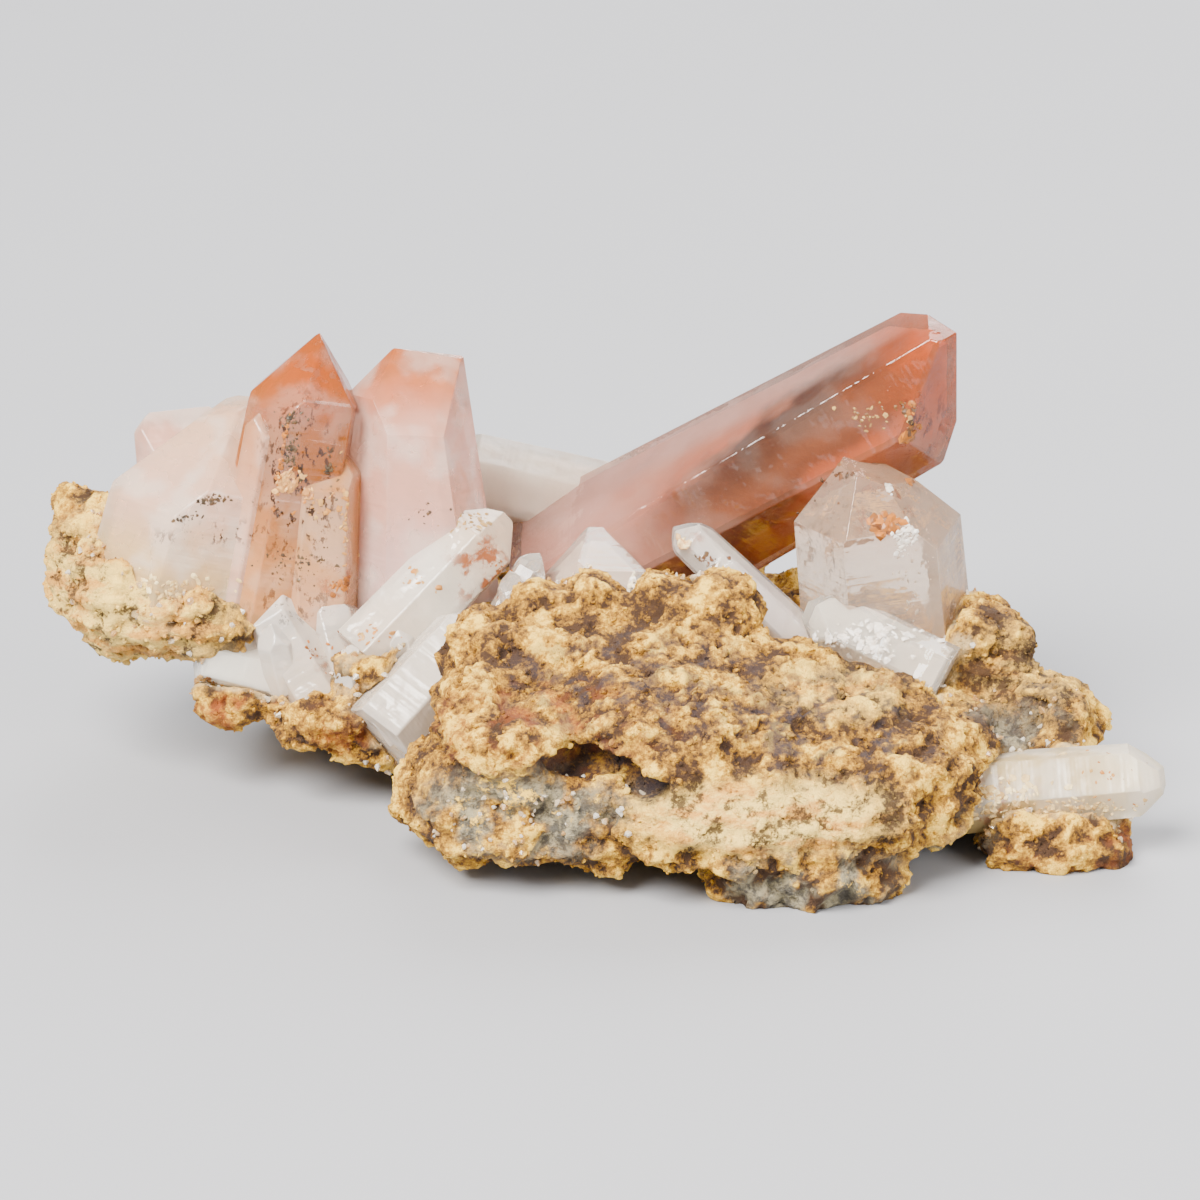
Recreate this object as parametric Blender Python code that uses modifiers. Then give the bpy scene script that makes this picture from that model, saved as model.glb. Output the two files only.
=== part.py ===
"""A cluster of pale amethyst crystals growing on a crusted plate of rock.

The frame: +X to the right, +Y to the back, +Z up, origin on the table under the middle of the bounding box.
Every quartz crystal is a block cut by the planes of its own faces: six prism faces, six rhombohedral tip
faces and one root face. Crystals that have grown into each other are one solid. The rock is a pile of lumps
fused by a voxel remesh, then roughened, pitted and socketed.
"""

import math
from dataclasses import dataclass

import bmesh
import bpy
from mathutils import Euler, Matrix, Vector

MM = 0.001

# Driving dimensions
SOCKET_GAP = 0.3 * MM
TIP_ANGLE = math.radians(51.8)
ROCK_VOXEL = 0.5 * MM
ROCK_TRIANGLE_SHARE = 0.16
BROAD_RELIEF = 1.6 * MM
BROAD_RELIEF_SIZE = 5.0 * MM
LUMPY_RELIEF = 1.5 * MM
LUMPY_RELIEF_SIZE = 2.2 * MM
TABLE_CUT = Vector((90, 70, 10)) * MM
BLOCK_TO_LENGTH = 3
ON_PLANE = 1e-9


@dataclass(frozen=True)
class Crystal:
    """One quartz crystal. Lengths are in millimetres and angles in degrees.

    root and tip are the ends of its long axis. reach holds the distance of each prism face from that axis,
    starting with the face that looks at the viewer and going round anticlockwise seen from the tip. roll
    turns the faces round the axis. spare is how far each tip face stands off the ideal point, along the axis:
    a large value makes a small face. lean tilts each prism face towards the axis, which narrows the crystal
    upwards. flats lists the worn and broken faces, each as a point and the direction it looks.
    """

    name: str
    root: tuple
    tip: tuple
    reach: tuple
    roll: float = 0.0
    spare: tuple = (0.0,) * 6
    lean: tuple = (1.0,) * 6
    flats: tuple = ()


def even(reach):
    """Six prism faces at one distance."""
    return (reach,) * 6


LEFT_CRYSTALS = [
    Crystal(
        "broad_crystal", root=(-22.9, 6.0, 8.4), tip=(-19.6, 8.5, 20.4), roll=22,
        reach=(4.6, 4.4, 4.0, 4.4, 5.0, 5.4), spare=(0.6, 2.0, 1.0, 1.0, 0.0, 0.0),
        flats=(((-20.2, 8.0, 19.5), (-0.24, -0.05, 1.0)),),
    ),
    Crystal(
        "stub_behind", root=(-22.5, 10.5, 8.6), tip=(-23.4, 12.4, 18.0), roll=8,
        reach=even(2.1), spare=(0.0, 2.4, 2.2, 0.0, 1.4, 1.6),
    ),
    Crystal(
        "orange_point", root=(-18.2, 5.0, 8.4), tip=(-15.1, 7.5, 23.75), roll=24,
        reach=(2.9, 2.5, 2.4, 2.7, 3.1, 3.3), spare=(0.3, 0.2, 0.5, 0.4, 0.2, 0.0),
    ),
    Crystal(
        "orange_foot", root=(-15.5, 4.4, 8.0), tip=(-14.9, 6.2, 18.4), roll=12,
        reach=(2.3, 2.2, 2.2, 2.2, 2.4, 2.3), spare=(0.2, 0.8, 0.6, 0.0, 0.9, 0.3),
    ),
    Crystal(
        "side_blade", root=(-20.0, 3.1, 8.1), tip=(-17.7, 5.1, 20.3), roll=30,
        reach=(1.2, 1.3, 1.2, 1.2, 1.3, 1.2), spare=(0.0, 1.0, 0.6, 0.5, 0.5, 0.9),
    ),
    Crystal(
        "pink_block", root=(-10.5, 6.0, 8.2), tip=(-9.7, 8.5, 22.7), roll=5,
        reach=(3.6, 4.6, 4.6, 3.4, 3.0, 3.0), spare=(0.0, 3.2, 3.3, 0.0, 1.6, 1.5),
        lean=(1.5, 10, 10, 1.5, -1, -1),
        flats=(((-9.3, 8.5, 22.5), (0.16, 0.0, 1.0)),),
    ),
]
LONG_CRYSTALS = [
    Crystal(
        "long_crystal", root=(-2.5, 12.6, 7.4), tip=(20.9, 7.8, 22.7), roll=-17,
        reach=(6.0, 4.1, 4.1, 4.1, 4.3, 4.3), spare=(3.1, -0.9, -0.7, -3.2, 3.0, 3.0),
        lean=(5.5, 1.5, 1.5, 1.5, 1.5, 1.5),
    ),
    Crystal(
        "back_crystal", root=(5.0, 14.2, 10.4), tip=(-9.8, 14.9, 13.9), roll=10,
        reach=even(2.4), spare=(0.4, 0.0, 0.5, 0.2, 0.3, 0.0),
    ),
]
CLEAR_CRYSTALS = [
    Crystal(
        "clear_crystal", root=(15.8, 5.6, 4.3), tip=(14.3, 3.6, 19.1), roll=8,
        reach=(3.7, 4.2, 4.2, 3.7, 4.0, 4.0), spare=(0.6, -0.1, -0.1, 0.4, 0.8, 0.8),
        flats=(((14.3, 3.6, 17.4), (0.28, 0.0, 1.0)),),
    ),
    Crystal(
        "leaning_prism", root=(14.6, 0.5, 4.9), tip=(4.2, 5.3, 13.7), roll=20,
        reach=even(1.3), spare=(0.2, 0.5, 0.0, 0.3, 0.8, 0.4),
    ),
    Crystal(
        "stout_crystal", root=(0.5, 1.6, 6.0), tip=(0.0, 7.0, 12.9), roll=16,
        reach=even(2.9), spare=(0.2, 0.4, 1.4, 0.2, 1.0, 0.9),
    ),
    Crystal(
        "white_crystal", root=(18.4, -0.7, 7.2), tip=(10.8, 1.7, 10.4), roll=20,
        reach=even(1.6), spare=(0.4, 0.2, 0.8, 0.0, 0.5, 0.3),
    ),
]
FRONT_CRYSTALS = [
    Crystal(
        "hooded_crystal", root=(-12.6, 1.7, 7.3), tip=(-5.2, 5.7, 14.1), roll=12,
        reach=(2.0, 2.1, 2.0, 2.0, 2.1, 2.2), spare=(0.4, 0.9, 0.6, 0.0, 0.9, 0.6),
    ),
    Crystal(
        "slanting_crystal", root=(-11.2, -2.4, 3.9), tip=(-4.5, 3.0, 9.9), roll=28,
        reach=(2.0, 2.1, 2.0, 2.2, 2.9, 2.8), spare=(0.4, 0.0, 0.5, 0.3, 0.2, 0.0),
    ),
    Crystal(
        "low_crystal", root=(-13.3, 1.4, 5.0), tip=(-15.0, 4.5, 10.7), roll=20,
        reach=even(1.5), spare=(0.3, 0.0, 0.4, 0.0, 0.2, 0.1),
    ),
    Crystal(
        "edge_crystal", root=(-14.6, 1.0, 4.8), tip=(-18.6, 3.9, 10.8), roll=5,
        reach=even(1.7), spare=(0.0, 1.4, 1.2, 0.0, 1.1, 1.2),
    ),
    Crystal(
        "bright_block", root=(-16.8, 2.4, 6.0), tip=(-22.9, 2.1, 7.7), roll=14,
        reach=even(1.35), flats=(((-21.6, 2.2, 7.4), (-1.0, -0.25, 0.2)),),
    ),
]
LYING_CRYSTALS = [
    Crystal(
        "lying_prism", root=(16.2, -6.9, 2.8), tip=(30.1, -7.4, 4.2), roll=24,
        reach=(2.0, 1.9, 2.1, 1.9, 2.0, 2.0), spare=(0.6, 0.2, 0.4, 0.8, 0.0, 0.4),
        flats=(((29.4, -7.4, 4.6), (1.0, -0.2, 0.25)), ((29.2, -7.4, 2.6), (0.8, 0.0, -0.7))),
    ),
]
CRYSTAL_GROUPS = {
    "right_crystal_cluster": LONG_CRYSTALS + CLEAR_CRYSTALS,
    "left_crystal_cluster": LEFT_CRYSTALS + FRONT_CRYSTALS,
    "lying_prism": LYING_CRYSTALS,
}


@dataclass(frozen=True)
class Lump:
    """One lump of the rock: a rounded box. Lengths are in millimetres and turns in degrees."""

    centre: tuple
    half: tuple
    turn: tuple = (0, 0, 0)
    squareness: float = 0.6


WING_LUMPS = [
    Lump((-19.0, 8.8, 8.5), (9.6, 6.2, 1.7), (0, 10, 8)),
    Lump((-28.0, 8.0, 12.3), (1.5, 2.8, 2.0)),
    Lump((-27.9, 7.4, 10.3), (1.8, 3.3, 2.0)),
    Lump((-24.8, 5.2, 8.9), (3.4, 2.4, 1.6), (10, 8, -20)),
    Lump((-20.6, 4.4, 8.0), (2.8, 2.2, 1.6), (0, 12, 10)),
    Lump((-19.4, 2.2, 5.3), (1.9, 1.8, 1.3)),
]
CORE_LUMPS = [
    Lump((-3.0, 7.0, 5.8), (13.0, 9.0, 3.7), (0, 0, 4)),
    Lump((12.0, 6.5, 3.9), (11.0, 8.2, 2.7), (0, 4, -6)),
    Lump((-11.0, 0.8, 4.2), (4.2, 3.4, 1.5), (0, 14, -30)),
    Lump((-14.4, 0.7, 4.9), (3.0, 2.4, 1.3)),
    Lump((3.6, -3.8, 6.0), (10.6, 5.0, 3.4), (-6, 8, 0)),
    Lump((7.0, 1.0, 4.1), (12.0, 8.0, 2.8), (0, 0, 8)),
]
BACK_LUMPS = [
    Lump((-12.6, 11.4, 3.4), (5.2, 4.2, 4.0), (8, 12, 24)),
    Lump((-8.4, 12.2, 2.4), (5.0, 3.5, 3.0), (-6, 0, -14)),
    Lump((-0.6, 12.7, 5.6), (7.4, 3.6, 3.4), (0, 6, 6)),
    Lump((3.4, 13.5, 7.8), (5.4, 2.6, 2.2), (0, 12, -4)),
    Lump((13.6, 12.4, 4.6), (6.2, 3.4, 2.6), (10, 0, -16)),
    Lump((-19.4, 12.6, 8.0), (4.6, 2.8, 2.2), (0, 14, -12)),
]
SLAB_LUMPS = [
    Lump((0.2, -8.6, 8.9), (8.4, 6.4, 2.0), (24, 0, -3)),
    Lump((10.2, -9.8, 7.1), (8.0, 5.7, 2.0), (28, 17, -8)),
    Lump((16.3, -8.8, 5.5), (3.4, 3.4, 1.9), (30, 20, -10)),
    Lump((-1.8, -3.8, 11.2), (2.8, 2.2, 1.8), (20, 0, 0)),
    Lump((5.0, -3.6, 11.9), (2.6, 2.0, 1.8), (30, 0, 0)),
]
LOWER_LUMPS = [
    Lump((-3.5, -9.9, 4.0), (6.5, 3.9, 2.7), (0, 0, -6)),
    Lump((8.8, -12.6, 4.4), (7.6, 3.4, 1.8), (12, 0, 4)),
    Lump((10.4, -11.8, 1.3), (4.7, 3.6, 2.6)),
]
RIGHT_LUMPS = [
    Lump((20.0, -2.6, 3.7), (5.8, 5.8, 2.4), (0, 6, 0)),
    Lump((17.6, 1.8, 6.0), (2.4, 2.4, 1.6)),
    Lump((20.6, 2.8, 7.3), (2.3, 2.8, 2.5), (0, 10, 0)),
    Lump((24.0, -0.8, 5.2), (2.5, 3.0, 1.7), (0, 32, 0)),
    Lump((23.6, -7.8, 1.2), (3.6, 2.3, 1.7), (0, 0, 6)),
]
ROCK_LUMPS = WING_LUMPS + CORE_LUMPS + BACK_LUMPS + SLAB_LUMPS + LOWER_LUMPS + RIGHT_LUMPS
ROCK_HOLLOWS = [
    Lump((-2.4, -15.4, 6.2), (6.6, 2.6, 1.0), (12, 4, 0), 1.0),
    Lump((0.2, -13.4, 7.2), (3.2, 3.6, 0.9), (6, 0, 0), 1.0),
    Lump((22.2, -4.6, 6.2), (2.8, 2.6, 2.0), (20, 0, 0), 1.0),
]


def clear_scene():
    """Removes every object that the file opened with."""
    for item in list(bpy.data.objects):
        bpy.data.objects.remove(item, do_unlink=True)


def new_collection(name):
    """A collection linked to the scene."""
    collection = bpy.data.collections.new(name)
    bpy.context.scene.collection.children.link(collection)
    return collection


def new_object(name, bm, collection, helper=False):
    """Turns a bmesh into an object. A helper is a cutter or a union operand, so it stays out of renders."""
    mesh = bpy.data.meshes.new(name)
    bm.to_mesh(mesh)
    bm.free()
    item = bpy.data.objects.new(name, mesh)
    collection.objects.link(item)
    if helper:
        item.hide_render = True
        item.display_type = "WIRE"
    return item


def boolean(item, operand, operation):
    """Adds a Boolean modifier whose operand is an object or a whole collection."""
    modifier = item.modifiers.new(f"{operation}_{operand.name}", "BOOLEAN")
    modifier.operation = operation
    modifier.solver = "EXACT"
    if isinstance(operand, bpy.types.Collection):
        modifier.operand_type = "COLLECTION"
        modifier.collection = operand
    else:
        modifier.object = operand
    return modifier


def finish_of(name, colour, roughness, transmission=0.0):
    """A plain Principled material."""
    material = bpy.data.materials.new(name)
    material.use_nodes = True
    shader = material.node_tree.nodes["Principled BSDF"]
    shader.inputs["Base Color"].default_value = (*colour, 1)
    shader.inputs["Roughness"].default_value = roughness
    shader.inputs["Transmission Weight"].default_value = transmission
    return material


def cut(bm, point, normal):
    """Cuts away what lies beyond a plane, and closes the cut with one flat face."""
    geometry = bm.verts[:] + bm.edges[:] + bm.faces[:]
    bmesh.ops.bisect_plane(
        bm, geom=geometry, dist=ON_PLANE, plane_co=point, plane_no=normal, clear_outer=True
    )
    rim = [edge for edge in bm.edges if edge.is_boundary]
    if rim:
        bmesh.ops.contextual_create(bm, geom=rim)


def crystal_mesh(crystal, grown=0.0):
    """Cuts one crystal from a block. grown moves every face outwards, which makes the socket cutter."""
    root = Vector(crystal.root) * MM
    tip = Vector(crystal.tip) * MM
    axis = (tip - root).normalized()
    towards_viewer = Vector((0, -1, 0))
    first = (towards_viewer - axis * towards_viewer.dot(axis)).normalized()
    block = BLOCK_TO_LENGTH * (tip - root).length
    bm = bmesh.new()
    bmesh.ops.create_cube(bm, size=block, matrix=Matrix.Translation((root + tip) / 2))
    cut(bm, root - axis * grown, -axis)
    for side in range(6):
        outwards = Matrix.Rotation(math.radians(crystal.roll + 60 * side), 3, axis) @ first
        reach = crystal.reach[side] * MM + grown
        lean = math.radians(crystal.lean[side])
        prism_normal = (outwards * math.cos(lean) + axis * math.sin(lean)).normalized()
        cut(bm, root + outwards * reach, prism_normal)
        tip_normal = outwards * math.sin(TIP_ANGLE) + axis * math.cos(TIP_ANGLE)
        cut(bm, tip + axis * crystal.spare[side] * MM + tip_normal * grown, tip_normal)
    for point, facing in crystal.flats:
        flat_normal = Vector(facing).normalized()
        cut(bm, Vector(point) * MM + flat_normal * grown, flat_normal)
    bmesh.ops.recalc_face_normals(bm, faces=bm.faces[:])
    return bm


def lump_mesh(bm, lump):
    """Adds a rounded box: a ball whose coordinates are drawn out towards the corners."""
    made = bmesh.ops.create_icosphere(bm, subdivisions=3, radius=1.0)["verts"]
    turn = Euler([math.radians(angle) for angle in lump.turn])
    place = Matrix.LocRotScale(Vector(lump.centre) * MM, turn, None)
    for vert in made:
        drawn = [math.copysign(abs(c) ** lump.squareness, c) for c in vert.co]
        vert.co = place @ Vector([d * h * MM for d, h in zip(drawn, lump.half)])
    return bm


def make_cutters(groups, helpers):
    """One collection of grown crystals for each group of crystals."""
    sockets = {}
    for name, crystals in groups.items():
        collection = bpy.data.collections.new(f"{name}_sockets")
        helpers.children.link(collection)
        for crystal in crystals:
            new_object(f"{crystal.name}_socket", crystal_mesh(crystal, SOCKET_GAP), collection, helper=True)
        sockets[name] = collection
    return sockets


def make_crystals(groups, sockets, parts, helpers, finish):
    """One solid for each group: its crystals are fused, then cut clear of the groups before it."""
    before = []
    for name, crystals in groups.items():
        first, *others = crystals
        item = new_object(name, crystal_mesh(first), parts)
        item.data.materials.append(finish)
        for crystal in others:
            grown_on = new_object(f"{crystal.name}_fused", crystal_mesh(crystal), helpers, helper=True)
            boolean(item, grown_on, "UNION")
        for earlier in before:
            boolean(item, sockets[earlier], "DIFFERENCE")
        before.append(name)


def roughen(item, name, kind, size, depth):
    """Displaces a surface along its normals by a cloudy or cellular pattern."""
    texture = bpy.data.textures.new(name, kind)
    texture.noise_scale = size
    modifier = item.modifiers.new(name, "DISPLACE")
    modifier.texture = texture
    modifier.texture_coords = "GLOBAL"
    modifier.strength = depth
    modifier.mid_level = 0.5


def remesh(item, voxel):
    """Fuses the shells of a mesh into one surface."""
    modifier = item.modifiers.new("fuse", "REMESH")
    modifier.mode = "VOXEL"
    modifier.voxel_size = voxel


def make_rock(sockets, parts, helpers, finish):
    """The rock plate: lumps fused together, hollowed, roughened, then cut for the crystals and the table."""
    bm = bmesh.new()
    for lump in ROCK_LUMPS:
        lump_mesh(bm, lump)
    rock = new_object("matrix", bm, parts)
    rock.data.materials.append(finish)
    remesh(rock, ROCK_VOXEL)
    for number, hollow in enumerate(ROCK_HOLLOWS, 1):
        cutter = new_object(f"hollow_{number}", lump_mesh(bmesh.new(), hollow), helpers, helper=True)
        boolean(rock, cutter, "DIFFERENCE")
    roughen(rock, "broad_relief", "CLOUDS", BROAD_RELIEF_SIZE, BROAD_RELIEF)
    roughen(rock, "lumpy_relief", "VORONOI", LUMPY_RELIEF_SIZE, LUMPY_RELIEF)
    remesh(rock, ROCK_VOXEL)
    thin = rock.modifiers.new("thin_out", "DECIMATE")
    thin.ratio = ROCK_TRIANGLE_SHARE
    for collection in sockets.values():
        boolean(rock, collection, "DIFFERENCE")
    table = bmesh.new()
    below = Matrix.LocRotScale(Vector((0, 0, -TABLE_CUT.z / 2)), None, TABLE_CUT)
    bmesh.ops.create_cube(table, size=1.0, matrix=below)
    boolean(rock, new_object("table_cutter", table, helpers, helper=True), "DIFFERENCE")


def main():
    """Builds the rock and every group of crystals."""
    clear_scene()
    parts = new_collection("amethyst_cluster")
    helpers = new_collection("cutters")
    quartz = finish_of("pale_quartz", (0.86, 0.72, 0.68), 0.12, 0.8)
    ochre = finish_of("ochre_rock", (0.72, 0.50, 0.24), 0.85)
    sockets = make_cutters(CRYSTAL_GROUPS, helpers)
    make_crystals(CRYSTAL_GROUPS, sockets, parts, helpers, quartz)
    make_rock(sockets, parts, helpers, ochre)


main()
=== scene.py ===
import logging
import math
from dataclasses import dataclass
from enum import Enum

import bmesh
import bpy
import numpy as np
from mathutils import Euler, Matrix, Vector, noise
from mathutils.bvhtree import BVHTree


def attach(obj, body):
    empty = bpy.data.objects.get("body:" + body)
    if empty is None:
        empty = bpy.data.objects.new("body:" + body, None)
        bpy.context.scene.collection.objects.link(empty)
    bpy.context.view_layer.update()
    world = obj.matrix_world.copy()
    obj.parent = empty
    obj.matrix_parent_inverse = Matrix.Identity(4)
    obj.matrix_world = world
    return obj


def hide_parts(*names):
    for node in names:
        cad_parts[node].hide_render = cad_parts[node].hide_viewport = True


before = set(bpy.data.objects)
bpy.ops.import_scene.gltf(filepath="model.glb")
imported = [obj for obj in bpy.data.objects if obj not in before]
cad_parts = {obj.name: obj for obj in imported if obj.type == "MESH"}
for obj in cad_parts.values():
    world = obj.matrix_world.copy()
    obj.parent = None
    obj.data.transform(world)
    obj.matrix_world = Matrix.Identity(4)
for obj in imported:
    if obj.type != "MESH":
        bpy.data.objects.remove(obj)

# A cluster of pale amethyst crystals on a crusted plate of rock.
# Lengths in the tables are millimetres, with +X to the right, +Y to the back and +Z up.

MM = 0.001
TIP_ANGLE = math.radians(51.8)
QUARTZ_IOR = 1.544
VIEW_ELEVATION = 20.0
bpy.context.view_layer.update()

Colour = tuple[float, float, float]
Point = tuple[float, float, float]
Socket = bpy.types.NodeSocket
Feed = Socket | Colour | float | str

log = logging.getLogger("amethyst_cluster")


def paint(red: int, green: int, blue: int) -> Colour:
    """Turns an everyday colour into a linear one.

    Args:
        red: Red from 0 to 255.
        green: Green from 0 to 255.
        blue: Blue from 0 to 255.

    Returns:
        The linear colour.
    """
    shares = [value / 255 for value in (red, green, blue)]
    return tuple(s / 12.92 if s <= 0.04045 else ((s + 0.055) / 1.055) ** 2.4 for s in shares)


def ease(low: float, high: float, values: np.ndarray) -> np.ndarray:
    """A smooth step.

    Args:
        low: Where the step starts. It may be above high, and then the step falls.
        high: Where it ends.
        values: The numbers to step.

    Returns:
        0 before low, 1 after high and a smooth rise between them.
    """
    share = np.clip((values - low) / (high - low), 0, 1)
    return share * share * (3 - 2 * share)


def clouds(points: np.ndarray, size: float, octaves: int, shift: float) -> np.ndarray:
    """Cloudy noise at points.

    Args:
        points: Places in millimetres, one a row.
        size: The width of the largest puffs.
        octaves: How many finer layers it has.
        shift: Moves the pattern, so that two patterns differ.

    Returns:
        One value a point, from about -1 to 1.
    """
    moved = (points / size + shift).tolist()
    return np.array([noise.fractal(p, 0.9, 2.1, octaves) for p in moved])


def cells(points: np.ndarray, size: float, shift: float) -> np.ndarray:
    """Cell noise at points.

    Args:
        points: Places in millimetres, one a row.
        size: The width of a cell.
        shift: Moves the pattern.

    Returns:
        The distance to the nearest cell's middle, from 0 to about 1.
    """
    moved = (points / size + shift).tolist()
    return np.array([noise.voronoi(p)[0][0] for p in moved])


@dataclass(frozen=True)
class Patch:
    """A soft-rimmed ellipsoid that marks where a colour or a crust lies."""

    centre: Point
    reach: Point
    strength: float = 1.0

    def share(self, points: np.ndarray) -> np.ndarray:
        """How much of the patch each point has.

        Args:
            points: Places in millimetres, one a row.

        Returns:
            One value a point, from 0 to the patch's strength.
        """
        away = np.linalg.norm((points - self.centre) / np.array(self.reach), axis=1)
        return self.strength * ease(1.2, 0.5, away)


def patched(points: np.ndarray, patches: tuple[Patch, ...]) -> np.ndarray:
    """The strongest share that any of the patches gives each point."""
    return np.max([patch.share(points) for patch in patches], axis=0)


class NodeGraph:
    """A node tree under construction, with short calls that add its nodes and join them."""

    def __init__(self, tree: bpy.types.NodeTree) -> None:
        """Takes the tree that the nodes go into."""
        self.tree = tree

    def add(self, kind: str, inputs: dict[str | int, Feed] | None = None,
            **settings: str | bool) -> bpy.types.Node:
        """Adds a node.

        Args:
            kind: Blender's name for the kind of node.
            inputs: What its inputs are fed with, by their names or numbers.
            settings: Its properties by name.

        Returns:
            The node.
        """
        node = self.tree.nodes.new(kind)
        for name, value in settings.items():
            setattr(node, name, value)
        for key, value in (inputs or {}).items():
            self.put(node.inputs[key], value)
        return node

    def put(self, socket: Socket, value: Feed) -> None:
        """Feeds a socket.

        Args:
            socket: The input to feed.
            value: A plain value, or the output that it is joined to.
        """
        if isinstance(value, Socket):
            self.tree.links.new(value, socket)
        elif isinstance(value, tuple) and len(socket.default_value) == 4:
            socket.default_value = (*value, 1.0)
        else:
            socket.default_value = value

    def named(self, attribute: str) -> Socket:
        """The number that a surface's named attribute holds, for geometry nodes."""
        node = self.add("GeometryNodeInputNamedAttribute", {"Name": attribute}, data_type="FLOAT")
        return node.outputs["Attribute"]

    def chance(self, seed: int, low: Feed, high: Feed) -> Socket:
        """A random value for each point, for geometry nodes.

        Args:
            seed: Picks the values.
            low: The least number, or the least vector.
            high: The greatest.

        Returns:
            The value.
        """
        kind, first, result = ("FLOAT_VECTOR", 0, 0) if isinstance(low, tuple) else ("FLOAT", 2, 1)
        inputs = {first: low, first + 1: high, "Seed": seed}
        return self.add("FunctionNodeRandomValue", inputs, data_type=kind).outputs[result]


class Finish(NodeGraph):
    """A material under construction."""

    def __init__(self, name: str) -> None:
        """Starts a Principled material that reads Object coordinates.

        Args:
            name: The material's name.
        """
        self.material = bpy.data.materials.new(name)
        self.material.use_nodes = True
        super().__init__(self.material.node_tree)
        self.shader = self.tree.nodes["Principled BSDF"]
        self.place = self.add("ShaderNodeTexCoord").outputs["Object"]

    def give(self, **inputs: Feed) -> None:
        """Sets the shader's inputs; an underscore in a name stands for a space."""
        for name, value in inputs.items():
            self.put(self.shader.inputs[name.replace("_", " ")], value)

    def value_of(self, attribute: str) -> Socket:
        """The number that a named attribute holds."""
        return self.add("ShaderNodeAttribute", attribute_name=attribute).outputs["Fac"]

    def colour_of(self, attribute: str) -> Socket:
        """The colour that a named attribute holds."""
        return self.add("ShaderNodeAttribute", attribute_name=attribute).outputs["Color"]

    def noise(self, size: float, detail: float = 3.0, roughness: float = 0.5,
              seed: float = 0.0, stretch: Point = (1, 1, 1)) -> Socket:
        """Cloudy noise.

        Args:
            size: The width of its puffs in millimetres.
            detail: How many finer layers it has.
            roughness: How strong they are.
            seed: Picks the pattern.
            stretch: Squeezes the pattern along each axis.

        Returns:
            The noise, from 0 to 1.
        """
        shift = (seed * 0.37, seed * 0.53, seed * 0.71)
        mapping = self.add("ShaderNodeMapping", {"Vector": self.place, "Scale": stretch, "Location": shift})
        inputs = {
            "Vector": mapping.outputs["Vector"], "Scale": 1 / (size * MM),
            "Detail": detail, "Roughness": roughness,
        }
        return self.add("ShaderNodeTexNoise", inputs).outputs["Fac"]

    def cells(self, size: float) -> Socket:
        """Cell noise.

        Args:
            size: The width of a cell in millimetres.

        Returns:
            The distance to the nearest cell's middle.
        """
        inputs = {"Vector": self.place, "Scale": 1 / (size * MM)}
        return self.add("ShaderNodeTexVoronoi", inputs).outputs["Distance"]

    def calc(self, operation: str, first: Feed, second: Feed) -> Socket:
        """One sum of two numbers.

        Args:
            operation: What is done with them, such as ADD.
            first: The first number.
            second: The second number.

        Returns:
            The result, kept between 0 and 1.
        """
        node = self.add("ShaderNodeMath", {0: first, 1: second}, operation=operation, use_clamp=True)
        return node.outputs["Value"]

    def step(self, value: Feed, low: float, high: float,
             to_low: float = 0.0, to_high: float = 1.0) -> Socket:
        """A smooth step.

        Args:
            value: The number to step.
            low: Where the step starts. It may be above high.
            high: Where it ends.
            to_low: The result at low.
            to_high: The result at high.

        Returns:
            The stepped number.
        """
        inputs = {"Value": value, "From Min": low, "From Max": high, "To Min": to_low, "To Max": to_high}
        return self.add("ShaderNodeMapRange", inputs, interpolation_type="SMOOTHSTEP").outputs["Result"]

    def blend(self, share: Feed, under: Feed, over: Feed) -> Socket:
        """Lays one colour over another.

        Args:
            share: How much of the upper colour covers, from 0 to 1.
            under: The lower colour.
            over: The upper colour.

        Returns:
            The mixed colour.
        """
        return self.add("ShaderNodeMix", {0: share, 6: under, 7: over}, data_type="RGBA").outputs[2]

    def ramp(self, value: Feed, *stops: tuple[float, Colour]) -> Socket:
        """A row of colours that a value runs through.

        Args:
            value: The number, from 0 to 1.
            stops: Each colour, after the number that it belongs to.

        Returns:
            The colour.
        """
        node = self.add("ShaderNodeValToRGB", {"Fac": value})
        band = node.color_ramp
        while len(band.elements) < len(stops):
            band.elements.new(1.0)
        for element, (position, colour) in zip(band.elements, stops):
            element.position = position
            element.color = (*colour, 1.0)
        return node.outputs["Color"]

    def bump(self, height: Feed, depth: float, under: Socket | None = None) -> Socket:
        """Relief in the shading.

        Args:
            height: The relief, from 0 to 1.
            depth: How high it is in millimetres.
            under: An earlier relief that it lies on.

        Returns:
            The bent normal.
        """
        inputs = {"Height": height, "Distance": depth * MM}
        if under is not None:
            inputs["Normal"] = under
        return self.add("ShaderNodeBump", inputs).outputs["Normal"]


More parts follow.
